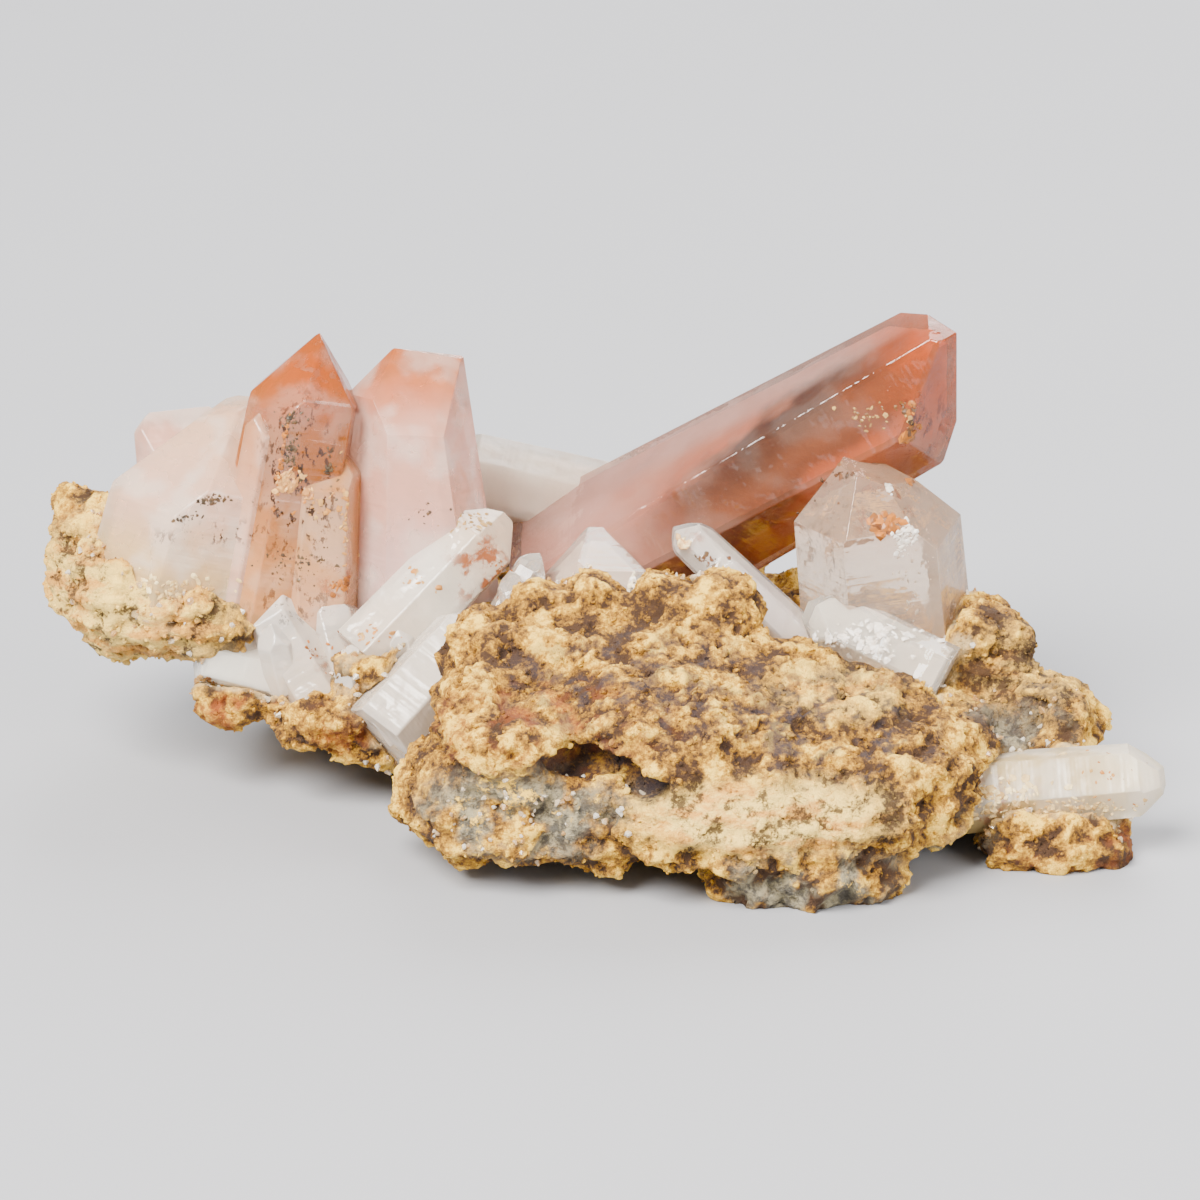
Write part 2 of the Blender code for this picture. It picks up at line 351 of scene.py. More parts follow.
@dataclass(frozen=True)
class CrustFinish:
    """The crumbly iron-stained crust, with grey quartz and white druse showing where they are bare."""

    brown: Colour = paint(62, 36, 8)
    ochre: Colour = paint(142, 96, 14)
    yellow: Colour = paint(200, 146, 28)
    cream: Colour = paint(255, 208, 82)
    pale: Colour = paint(255, 217, 116)
    stain: Colour = paint(216, 136, 40)
    dark: Colour = paint(56, 46, 50)
    rust: Colour = paint(160, 78, 14)
    grey: Colour = paint(156, 144, 112)
    slate: Colour = paint(76, 70, 58)
    druse: Colour = paint(220, 190, 134)

    def material(self) -> bpy.types.Material:
        """Builds the material.

        Returns:
            The material, which reads the rock's relief and patches.
        """
        finish = Finish("ochre_crust")
        fine = finish.step(finish.noise(0.34, 4.0, 0.75, 9.0), 0.36, 0.64, -0.2, 0.2)
        mottle = finish.step(finish.noise(1.3, 6.0, 0.72, 21.0), 0.36, 0.64, -0.26, 0.26)
        # Painted shade and highlight: the relief attribute turns hollows brown and raised parts yellow to
        # cream, while the noise adds the crust's own mottled tone.
        height = finish.calc("ADD", finish.value_of("relief"), mottle)
        height = finish.calc("ADD", height, fine)
        crust = finish.ramp(
            height, (0.12, self.brown), (0.38, self.ochre), (0.64, self.yellow), (0.92, self.cream)
        )
        # The cream patches show on the raised parts and fade into the hollows, partly a painted highlight.
        creamy = finish.calc("MULTIPLY", finish.value_of("cream"), finish.step(height, -0.1, 0.42))
        layers = finish.step(finish.noise(1.8, 6.0, 0.68, 41.0, (0.6, 0.6, 1.7)), 0.47, 0.6, 0.0, 0.75)
        crust = finish.blend(creamy, crust, finish.blend(layers, self.pale, self.stain))
        crust = finish.blend(finish.value_of("rust"), crust, self.rust)
        # The dark attribute holds real dark blotches, and painted shade in the slots and the ridge's hollow.
        crust = finish.blend(finish.value_of("dark"), crust, self.dark)
        bare = finish.calc("MULTIPLY", finish.value_of("grey"), finish.step(height, 0.95, 0.6))
        druse = finish.value_of("druse")
        veins = finish.step(finish.noise(0.7, 5.0, 0.7, 33.0), 0.42, 0.6)
        colour = finish.blend(bare, crust, finish.blend(veins, self.slate, self.grey))
        colour = finish.blend(druse, colour, self.druse)
        glassy = finish.calc("MAXIMUM", bare, druse)
        glitter = finish.step(finish.cells(0.3), 0.12, 0.2, 0.25, 0.85)
        rough = finish.blend(glassy, glitter, (0.32, 0.32, 0.32))
        relief = finish.bump(finish.noise(0.26, 4.0, 0.75, 5.0), 0.26)
        finish.give(Base_Color=colour, Roughness=rough, Normal=relief)
        return finish.material


@dataclass(frozen=True)
class SparkFinish:
    """The tiny crystals of the druse, from clear to creamy."""

    low: Colour = paint(214, 168, 104)
    middle: Colour = paint(240, 218, 180)
    high: Colour = paint(254, 246, 232)

    def material(self) -> bpy.types.Material:
        """Builds the material.

        Returns:
            The material, which reads each point's own shade.
        """
        finish = Finish("druse")
        shade = finish.value_of("shade")
        mottled = finish.calc("ADD", shade, finish.step(finish.noise(0.5), 0.3, 0.7, -0.2, 0.2))
        finish.give(Base_Color=finish.ramp(mottled, (0.1, self.low), (0.45, self.middle), (0.9, self.high)))
        finish.give(Roughness=finish.step(finish.noise(0.4, 2.0, 0.5, 6.0), 0.35, 0.6, 0.05, 0.3))
        finish.give(Transmission_Weight=0.55, IOR=QUARTZ_IOR)
        return finish.material


@dataclass(frozen=True)
class QuartzFinish:
    """See-through quartz. Its tint, frost, stain and specks come from the crystals' own attributes."""

    name: str
    clearness: float
    absorbed: Colour
    absorption: float
    stain: Colour = paint(176, 92, 36)
    speck: Colour = paint(52, 40, 30)

    def material(self) -> bpy.types.Material:
        """Builds the material.

        Returns:
            The material.
        """
        finish = Finish(self.name)
        tint = finish.colour_of("tint")
        fissures = finish.step(finish.noise(1.1, 4.0, 0.7, 2.0), 0.5, 0.62)
        stained = finish.calc("MULTIPLY", finish.value_of("stain"), fissures)
        tint = finish.blend(stained, tint, self.stain)
        dots = finish.step(finish.noise(0.55, 4.0, 0.75, 3.0, (1.0, 1.0, 0.6)), 0.55, 0.6)
        specks = finish.calc("MULTIPLY", finish.value_of("specks"), dots)
        tint = finish.blend(specks, tint, self.speck)
        rough = finish.calc("MAXIMUM", finish.value_of("frost"), finish.calc("MULTIPLY", stained, 0.6))
        lines = {"W": finish.value_of("along"), "Scale": 1.6, "Detail": 2.0}
        growth = finish.add("ShaderNodeTexNoise", lines, noise_dimensions="1D")
        relief = finish.bump(growth.outputs["Fac"], 0.04)
        relief = finish.bump(finish.noise(2.2, 3.0, 0.42, 5.0), 0.26, relief)
        finish.give(Base_Color=tint, Roughness=rough, Normal=relief)
        finish.give(Transmission_Weight=self.clearness, IOR=QUARTZ_IOR)
        dye = {"Color": self.absorbed, "Density": self.absorption}
        inside = finish.add("ShaderNodeVolumeAbsorption", dye)
        output = finish.tree.nodes["Material Output"]
        finish.put(output.inputs["Volume"], inside.outputs["Volume"])
        return finish.material


@dataclass(frozen=True)
class MilkFinish:
    """The milky cloud inside a crystal."""

    name: str = "milky_cloud"
    clearness: float = 0.15
    shade: Colour = paint(190, 160, 150)

    def material(self) -> bpy.types.Material:
        """Builds the material.

        Returns:
            The material, tinted by the crystal it is in.
        """
        finish = Finish(self.name)
        tint = finish.colour_of("tint")
        dim = finish.step(finish.noise(1.9, 4.0, 0.6, 7.0), 0.38, 0.62, 0.0, 0.16)
        finish.give(Base_Color=finish.blend(dim, tint, self.shade))
        finish.give(Roughness=finish.step(finish.noise(1.2), 0.3, 0.7, 0.45, 0.7))
        finish.give(Transmission_Weight=self.clearness, IOR=QUARTZ_IOR)
        finish.give(Normal=finish.bump(finish.noise(0.8, 4.0, 0.6, 8.0), 0.12))
        return finish.material


@dataclass(frozen=True)
class FloorFinish:
    """The pale studio floor."""

    colour: Colour = paint(160, 161, 166)
    mottle: Colour = paint(153, 154, 159)

    def material(self) -> bpy.types.Material:
        """Builds the material.

        Returns:
            The material, with the faintest mottle.
        """
        finish = Finish("pale_floor")
        cloud = finish.step(finish.noise(60.0), 0.3, 0.7, 0.0, 0.25)
        finish.give(Base_Color=finish.blend(cloud, self.colour, self.mottle), Roughness=0.6)
        return finish.material


@dataclass(frozen=True)
class CrystalLook:
    """How one crystal looks: colours from its root to its tip, frost, and how deep its milk starts.

    A milk of 0 leaves the crystal clear inside. white is how much of the milk is white and not tinted.
    """

    foot: Colour
    body: Colour
    top: Colour
    frost: float = 0.08
    milk: float = 0.0
    top_from: float = 0.7
    white: float = 0.8


@dataclass(frozen=True)
class Crystal:
    """One quartz crystal, cut from a block by its faces. The angles are degrees.

    root and tip are the ends of its long axis. reach holds the distance of each prism face from that axis,
    starting with the face that looks at the viewer and going round anticlockwise seen from the tip. roll
    turns the faces round the axis. spare is how far each tip face stands off the ideal point, along the axis.
    lean tilts each prism face towards the axis. flats lists the worn faces, each as a point and the
    direction it looks. bands are colours that run down the crystal, each at a height above a line that slopes
    across its axis as the viewer sees it, and rim is the colour of the face above them all.
    """

    name: str
    root: Point
    tip: Point
    reach: tuple[float, ...]
    roll: float
    look: CrystalLook
    spare: tuple[float, ...] = (0.0,) * 6
    lean: tuple[float, ...] = (1.0,) * 6
    flats: tuple[tuple[Point, Point], ...] = ()
    bands: tuple[tuple[float, Colour], ...] = ()
    band_slope: float = 5.0
    rim: Colour = paint(210, 168, 154)
    rim_height: float = 3.1

    def axis(self) -> Vector:
        """The direction from root to tip."""
        return (Vector(self.tip) - Vector(self.root)).normalized()

    def upwards(self) -> Vector:
        """The direction across the crystal that points up in the viewer's eye."""
        tilt = math.radians(VIEW_ELEVATION)
        return Vector((0, -math.cos(tilt), math.sin(tilt))).cross(self.axis()).normalized()

    def planes(self, grown: float = 0.0) -> list[tuple[Vector, Vector]]:
        """The planes that bound the crystal.

        Args:
            grown: How far each plane moves outwards, in millimetres.

        Returns:
            A point on each plane and the plane's outward direction.
        """
        root = Vector(self.root)
        tip = Vector(self.tip)
        axis = self.axis()
        towards_viewer = Vector((0, -1, 0))
        first = (towards_viewer - axis * towards_viewer.dot(axis)).normalized()
        found = [(root - axis * grown, -axis)]
        for side in range(6):
            outwards = Matrix.Rotation(math.radians(self.roll + 60 * side), 3, axis) @ first
            lean = math.radians(self.lean[side])
            prism = (outwards * math.cos(lean) + axis * math.sin(lean)).normalized()
            found.append((root + outwards * (self.reach[side] + grown), prism))
            point = outwards * math.sin(TIP_ANGLE) + axis * math.cos(TIP_ANGLE)
            found.append((tip + axis * self.spare[side] + point * grown, point))
        for place, facing in self.flats:
            flat = Vector(facing).normalized()
            found.append((Vector(place) + flat * grown, flat))
        return found

    def solid(self, grown: float = 0.0, edge: float = 0.0) -> bmesh.types.BMesh:
        """Cuts the crystal from a block.

        Args:
            grown: How far every face moves outwards.
            edge: The width of the rounding along its edges.

        Returns:
            The closed solid, in metres.
        """
        middle = (Vector(self.root) + Vector(self.tip)) / 2
        length = (Vector(self.tip) - Vector(self.root)).length
        bm = bmesh.new()
        bmesh.ops.create_cube(bm, size=3 * length, matrix=Matrix.Translation(middle))
        for place, facing in self.planes(grown):
            bmesh.ops.bisect_plane(
                bm, geom=bm.verts[:] + bm.edges[:] + bm.faces[:], dist=1e-5,
                plane_co=place, plane_no=facing, clear_outer=True,
            )
            rim = [e for e in bm.edges if e.is_boundary]
            if rim:
                bmesh.ops.contextual_create(bm, geom=rim)
        if edge:
            bmesh.ops.bevel(
                bm, geom=bm.edges[:], offset=edge, segments=2, profile=0.5, affect="EDGES", clamp_overlap=True
            )
            bmesh.ops.remove_doubles(bm, verts=bm.verts[:], dist=0.002)
        bmesh.ops.scale(bm, vec=(MM, MM, MM), verts=bm.verts[:])
        bmesh.ops.recalc_face_normals(bm, faces=bm.faces[:])
        return bm

    def depth(self, points: np.ndarray) -> np.ndarray:
        """How far points lie outside the crystal.

        Args:
            points: Places in millimetres, one a row.

        Returns:
            The signed distance to its nearest face plane, negative inside.
        """
        bounds = [(points - np.array(place)) @ np.array(facing) for place, facing in self.planes()]
        return np.max(bounds, axis=0)

    def along(self, points: np.ndarray) -> np.ndarray:
        """Distance from the root along the axis, in millimetres."""
        return (points - np.array(self.root)) @ np.array(self.axis())

    def tint(self, points: np.ndarray) -> np.ndarray:
        """The crystal's colour at points.

        Args:
            points: Places in millimetres, one a row.

        Returns:
            One linear colour a row.
        """
        length = (Vector(self.tip) - Vector(self.root)).length
        share = self.along(points) / length + 0.06 * clouds(points, 2.0, 2, 3.0)
        rise = ease(0.15, 0.55, share)[:, None]
        peak = ease(self.look.top_from - 0.18, self.look.top_from + 0.18, share)[:, None]
        look = self.look
        colour = np.array(look.foot) * (1 - rise) + np.array(look.body) * rise
        if self.bands:
            level = (points - np.array(self.root)) @ np.array(self.upwards())
            sloped = level + 0.45 * clouds(points, 2.6, 3, 7.0) - self.band_slope * (share - 0.26)
            heights = [height for height, _ in self.bands]
            banded = [np.interp(sloped, heights, [c[part] for _, c in self.bands]) for part in range(3)]
            colour = colour * (1 - rise) + np.column_stack(banded) * rise
            above = ease(self.rim_height - 0.25, self.rim_height + 0.25, level)[:, None]
            colour = colour * (1 - above) + np.array(self.rim) * above
        return colour * (1 - peak) + np.array(look.top) * peak


def even(reach: float) -> tuple[float, ...]:
    """Six prism faces at one distance."""
    return (reach,) * 6


BROAD_CRYSTAL = Crystal(
    "broad_crystal", (-22.9, 6.0, 8.4), (-19.6, 8.5, 20.4), (4.6, 4.4, 4.0, 4.4, 5.0, 5.4), 22,
    CrystalLook(paint(238, 204, 146), paint(242, 202, 176), paint(244, 202, 168), 0.24, 0.9, white=0.5),
    spare=(0.6, 2.0, 1.0, 1.0, 0.0, 0.0), flats=(((-20.2, 8.0, 19.5), (-0.24, -0.05, 1.0)),),
)
STUB_BEHIND = Crystal(
    "stub_behind", (-22.5, 10.5, 8.6), (-23.4, 12.4, 18.0), even(2.1), 8,
    CrystalLook(paint(236, 204, 182), paint(238, 198, 178), paint(240, 188, 164), 0.3, 0.6),
    spare=(0.0, 2.4, 2.2, 0.0, 1.4, 1.6),
)
ORANGE_POINT = Crystal(
    "orange_point", (-18.2, 5.0, 8.4), (-15.1, 7.5, 23.75), (2.9, 2.95, 2.4, 2.7, 3.1, 3.3), 24,
    CrystalLook(paint(234, 172, 114), paint(188, 112, 50), paint(198, 96, 20), 0.08, 0.8, 0.76, 0.1),
    spare=(0.3, 0.2, 0.5, 0.4, 0.2, 0.0),
)
ORANGE_FOOT = Crystal(
    "orange_foot", (-15.5, 4.4, 8.0), (-14.9, 6.2, 18.4), (2.3, 2.2, 2.2, 2.2, 2.4, 2.3), 12,
    CrystalLook(paint(240, 186, 140), paint(228, 170, 110), paint(216, 146, 76), 0.12, 0.6, white=0.25),
    spare=(0.2, 0.8, 0.6, 0.0, 0.9, 0.3),
)
SIDE_BLADE = Crystal(
    "side_blade", (-20.0, 3.1, 8.1), (-17.7, 5.1, 20.3), (1.2, 1.3, 1.2, 1.2, 1.3, 1.2), 30,
    CrystalLook(paint(238, 194, 168), paint(240, 194, 164), paint(232, 168, 122), 0.14, 0.35, white=0.5),
    spare=(0.0, 1.0, 0.6, 0.5, 0.5, 0.9),
)
PINK_BLOCK = Crystal(
    "pink_block", (-10.5, 6.0, 8.2), (-9.7, 8.5, 22.7), (3.6, 4.6, 4.6, 3.4, 3.0, 3.0), 5,
    CrystalLook(paint(242, 204, 194), paint(242, 186, 164), paint(212, 112, 42), 0.2, 1.0, 0.82, 0.65),
    spare=(0.0, 3.2, 3.3, 0.0, 1.6, 1.5), lean=(1.5, 10, 10, 1.5, -1, -1),
    flats=(((-9.3, 8.5, 22.5), (0.16, 0.0, 1.0)),),
)
LONG_CRYSTAL = Crystal(
    "long_crystal", (-2.5, 12.6, 7.4), (20.9, 7.8, 22.7), (6.0, 4.1, 4.1, 4.1, 4.3, 4.3), -17,
    CrystalLook(paint(222, 174, 158), paint(198, 124, 84), paint(226, 118, 44), 0.05, 0.6, 0.88, 0.06),
    spare=(3.1, -0.9, -0.7, -3.2, 3.0, 3.0), lean=(5.5, 1.5, 1.5, 1.5, 1.5, 1.5),
    bands=(
        (-7.5, paint(214, 144, 100)), (-5.8, paint(194, 132, 90)), (-4.6, paint(224, 146, 102)),
        (-3.4, paint(214, 124, 80)), (-2.9, paint(164, 102, 68)), (-1.6, paint(172, 110, 74)),
        (-0.4, paint(136, 88, 62)), (0.8, paint(110, 74, 58)), (1.15, paint(208, 138, 108)),
        (2.2, paint(214, 154, 128)),
    ),
)
BACK_CRYSTAL = Crystal(
    "back_crystal", (5.0, 14.2, 10.4), (-9.8, 14.9, 13.9), even(2.4), 10,
    CrystalLook(paint(238, 218, 200), paint(240, 224, 208), paint(242, 228, 214), 0.3, 0.7),
    spare=(0.4, 0.0, 0.5, 0.2, 0.3, 0.0),
)
CLEAR_CRYSTAL = Crystal(
    "clear_crystal", (15.8, 5.6, 4.3), (14.3, 3.6, 19.1), (3.7, 4.2, 4.2, 3.7, 4.0, 4.0), 8,
    CrystalLook(paint(246, 222, 196), paint(248, 230, 212), paint(246, 206, 174), 0.04),
    spare=(0.6, -0.1, -0.1, 0.4, 0.8, 0.8), flats=(((14.3, 3.6, 17.4), (0.28, 0.0, 1.0)),),
)
LEANING_PRISM = Crystal(
    "leaning_prism", (14.6, 0.5, 4.9), (4.2, 5.3, 13.7), even(1.3), 20,
    CrystalLook(paint(250, 232, 224), paint(250, 240, 236), paint(252, 246, 240), 0.1, 0.25, white=1.0),
    spare=(0.2, 0.5, 0.0, 0.3, 0.8, 0.4),
)
STOUT_CRYSTAL = Crystal(
    "stout_crystal", (0.5, 1.6, 6.0), (0.0, 7.0, 12.9), even(2.9), 16,
    CrystalLook(paint(246, 226, 208), paint(246, 228, 212), paint(246, 224, 206), 0.12, 0.8),
    spare=(0.2, 0.4, 1.4, 0.2, 1.0, 0.9),
)
WHITE_CRYSTAL = Crystal(
    "white_crystal", (18.4, -0.7, 7.2), (10.8, 1.7, 10.4), even(1.6), 20,
    CrystalLook(paint(254, 244, 230), paint(255, 249, 238), paint(255, 249, 238), 0.1, 0.35, white=1.0),
    spare=(0.4, 0.2, 0.8, 0.0, 0.5, 0.3),
    flats=(((15.2, -0.9, 9.7), (-0.15, -0.55, 0.8)), ((11.8, 0.6, 10.0), (-0.7, -0.6, 0.5))),
)
HOODED_CRYSTAL = Crystal(
    "hooded_crystal", (-12.6, 1.7, 7.3), (-5.2, 5.7, 14.1), (2.0, 2.1, 2.0, 2.0, 2.1, 2.2), 12,
    CrystalLook(paint(252, 236, 218), paint(255, 247, 234), paint(246, 222, 196), 0.06, 0.5, white=1.0),
    spare=(0.4, 0.9, 0.6, 0.0, 0.9, 0.6),
)
SLANTING_CRYSTAL = Crystal(
    "slanting_crystal", (-11.2, -2.4, 3.9), (-4.5, 3.0, 9.9), (2.0, 2.1, 2.0, 2.2, 2.9, 2.8), 28,
    CrystalLook(paint(250, 238, 224), paint(250, 240, 228), paint(255, 248, 238), 0.1, 0.4, white=1.0),
    spare=(0.4, 0.0, 0.5, 0.3, 0.2, 0.0),
)
LOW_CRYSTAL = Crystal(
    "low_crystal", (-13.3, 1.4, 5.0), (-15.0, 4.5, 10.7), even(1.5), 20,
    CrystalLook(paint(248, 230, 210), paint(250, 236, 222), paint(252, 240, 228), 0.07),
    spare=(0.3, 0.0, 0.4, 0.0, 0.2, 0.1),
)
EDGE_CRYSTAL = Crystal(
    "edge_crystal", (-14.6, 1.0, 4.8), (-18.6, 3.9, 10.8), even(1.7), 5,
    CrystalLook(paint(248, 230, 210), paint(250, 236, 222), paint(252, 240, 228), 0.07),
    spare=(0.0, 1.4, 1.2, 0.0, 1.1, 1.2),
)
BRIGHT_BLOCK = Crystal(
    "bright_block", (-16.8, 2.4, 6.0), (-22.9, 2.1, 7.7), even(1.35), 14,
    CrystalLook(paint(255, 246, 232), paint(255, 251, 240), paint(255, 252, 242), 0.12, 0.3, white=1.0),
    flats=(((-21.6, 2.2, 7.4), (-1.0, -0.25, 0.2)),),
)
LYING_PRISM = Crystal(
    "lying_prism", (16.2, -6.9, 2.8), (30.1, -7.4, 4.2), (2.0, 1.9, 2.1, 1.9, 2.0, 2.0), 24,
    CrystalLook(paint(214, 182, 112), paint(228, 204, 150), paint(252, 238, 208), 0.3, 0.5, white=0.4),
    spare=(0.6, 0.2, 0.4, 0.8, 0.0, 0.4),
    flats=(((29.4, -7.4, 4.6), (1.0, -0.2, 0.25)), ((29.2, -7.4, 2.6), (0.8, 0.0, -0.7))),
)


def small_crystal(name: str, root: Point, tip: Point, reach: float, look: CrystalLook) -> Crystal:
    """A short crystal with plain faces, turned by its own place."""
    roll = 17.0 * root[0] % 60
    return Crystal(name, root, tip, even(reach), roll, look, spare=(0.3, 0.0, 0.5, 0.1, 0.4, 0.0))


GLASSY = CrystalLook(paint(250, 234, 216), paint(252, 242, 230), paint(254, 246, 236), 0.06)
CREAMY = CrystalLook(paint(250, 230, 182), paint(252, 238, 200), paint(254, 244, 216), 0.2, 0.3)
LEFT_FOOT_CRYSTALS = (
    small_crystal("foot_left_1", (-16.8, 1.4, 5.8), (-17.6, 1.2, 9.6), 0.95, GLASSY),
    small_crystal("foot_left_2", (-14.0, 0.4, 5.2), (-12.8, 0.2, 8.8), 0.85, GLASSY),
    small_crystal("foot_left_3", (-12.2, 0.2, 5.4), (-13.9, -0.6, 7.6), 0.75, GLASSY),
    small_crystal("foot_left_4", (-18.8, 2.6, 6.4), (-19.6, 2.9, 10.4), 0.85, GLASSY),
    small_crystal("foot_left_5", (-10.4, 1.0, 6.2), (-10.9, 1.2, 9.9), 0.9, GLASSY),
    small_crystal("foot_left_6", (-10.8, -2.6, 4.6), (-12.0, -3.0, 6.6), 0.7, GLASSY),
)
RIGHT_FOOT_CRYSTALS = (
    small_crystal("foot_right_1", (-1.2, -0.4, 9.8), (-0.6, 0.9, 12.9), 1.0, CREAMY),
    small_crystal("foot_right_2", (1.6, -0.2, 9.8), (2.8, 0.5, 12.8), 0.9, GLASSY),
    small_crystal("foot_right_3", (-3.8, 0.6, 9.2), (-4.8, 1.9, 12.4), 0.95, GLASSY),
    small_crystal("foot_right_4", (-5.2, 2.6, 9.4), (-3.2, 4.0, 12.6), 0.9, GLASSY),
    small_crystal("foot_right_5", (3.8, 0.6, 9.4), (5.6, 0.9, 12.2), 0.8, GLASSY),
)

STAINS = (
    Patch((-14.8, 4.0, 22.6), (2.6, 5.0, 2.6), 0.7),
    Patch((-13.6, 2.6, 11.4), (1.6, 1.6, 1.4)),
    Patch((-6.4, 3.0, 12.2), (2.0, 2.2, 2.4)),
    Patch((-14.6, 2.0, 7.6), (2.0, 2.0, 1.2), 0.8),
    Patch((16.6, 3.2, 21.2), (2.8, 4.0, 1.6), 0.6),
    Patch((18.2, 4.4, 18.4), (2.4, 4.0, 2.2)),
    Patch((15.2, 1.0, 15.8), (1.8, 3.0, 1.8)),
    Patch((4.4, 3.2, 13.6), (1.5, 2.0, 1.4), 0.9),
    Patch((20.4, -8.4, 3.2), (3.4, 2.4, 1.6), 0.7),
)
SPECKLED = (
    Patch((-16.0, 3.0, 17.0), (2.6, 4.0, 5.6)),
    Patch((-20.6, 2.4, 14.2), (3.6, 3.0, 0.7)),
    Patch((18.0, 4.0, 19.0), (3.0, 4.0, 3.2), 0.8),
    Patch((12.2, 3.0, 13.4), (1.8, 3.0, 1.8), 0.8),
    Patch((-16.6, 3.0, 10.4), (2.6, 3.0, 1.4), 0.7),
)


def placed(name: str, data: bpy.types.ID) -> bpy.types.Object:
    """Puts data in the scene.

    Args:
        name: The object's name.
        data: A mesh, a light or a camera.

    Returns:
        The object that holds it, at the origin.
    """
    item = bpy.data.objects.new(name, data)
    bpy.context.scene.collection.objects.link(item)
    return item


def plain_mesh(item: bpy.types.Object, name: str) -> bpy.types.Object:
    """Turns an object with modifiers into a plain one.

    Args:
        item: The object, which is removed.
        name: The new object's name.

    Returns:
        A new object at the origin that holds the finished mesh.
    """
    graph = bpy.context.evaluated_depsgraph_get()
    mesh = bpy.data.meshes.new_from_object(item.evaluated_get(graph))
    bpy.data.objects.remove(item, do_unlink=True)
    mesh.name = name
    return placed(name, mesh)


def shown(bm: bmesh.types.BMesh, name: str) -> bpy.types.Object:
    """Makes an object of a mesh under construction.

    Args:
        bm: The mesh, which is freed.
        name: The object's name.

    Returns:
        The object, linked to the scene.
    """
    mesh = bpy.data.meshes.new(name)
    bm.to_mesh(mesh)
    bm.free()
    return placed(name, mesh)


def rows(parts: bpy.types.bpy_prop_collection, key: str) -> np.ndarray:
    """Reads a vector from every part of a mesh.

    Args:
        parts: The mesh's vertices or polygons.
        key: The vector's name.

    Returns:
        The vectors, one a row.
    """
    flat = np.empty(len(parts) * 3)
    parts.foreach_get(key, flat)
    return flat.reshape(-1, 3)


def places(mesh: bpy.types.Mesh) -> np.ndarray:
    """Where a mesh has its vertices, in millimetres, one a row."""
    return rows(mesh.vertices, "co") / MM


def move_vertices(mesh: bpy.types.Mesh, points: np.ndarray) -> None:
    """Moves a mesh's vertices, and lifts what would sink below the floor.

    Args:
        mesh: The mesh.
        points: The new places in millimetres, one a row.
    """
    points[:, 2] = np.maximum(points[:, 2], 0.0)
    mesh.vertices.foreach_set("co", (points * MM).ravel())
    mesh.update()


def store(mesh: bpy.types.Mesh, name: str, values: np.ndarray, domain: str = "POINT") -> None:
    """Stores a number or a colour for each vertex or face corner.

    Args:
        mesh: The mesh that gets them.
        name: The attribute's name.
        values: The numbers, or one linear colour a row.
        domain: POINT for vertices, or CORNER for face corners.
    """
    if values.ndim == 1:
        mesh.attributes.new(name, "FLOAT", domain).data.foreach_set("value", values.astype(np.float32))
        return
    padded = np.column_stack([values, np.ones(len(values))]).astype(np.float32)
    mesh.attributes.new(name, "FLOAT_COLOR", domain).data.foreach_set("color", padded.ravel())


def split_long_edges(bm: bmesh.types.BMesh, longest: float) -> None:
    """Divides a mesh into small triangles.

    Args:
        bm: The mesh.
        longest: The greatest length of an edge, in metres.
    """
    bmesh.ops.triangulate(bm, faces=bm.faces[:])
    for _ in range(8):
        long_edges = [e for e in bm.edges if e.calc_length() > longest]
        if not long_edges:
            break
        bmesh.ops.subdivide_edges(bm, edges=long_edges, cuts=1)
        bmesh.ops.triangulate(bm, faces=[f for f in bm.faces if len(f.verts) > 3])


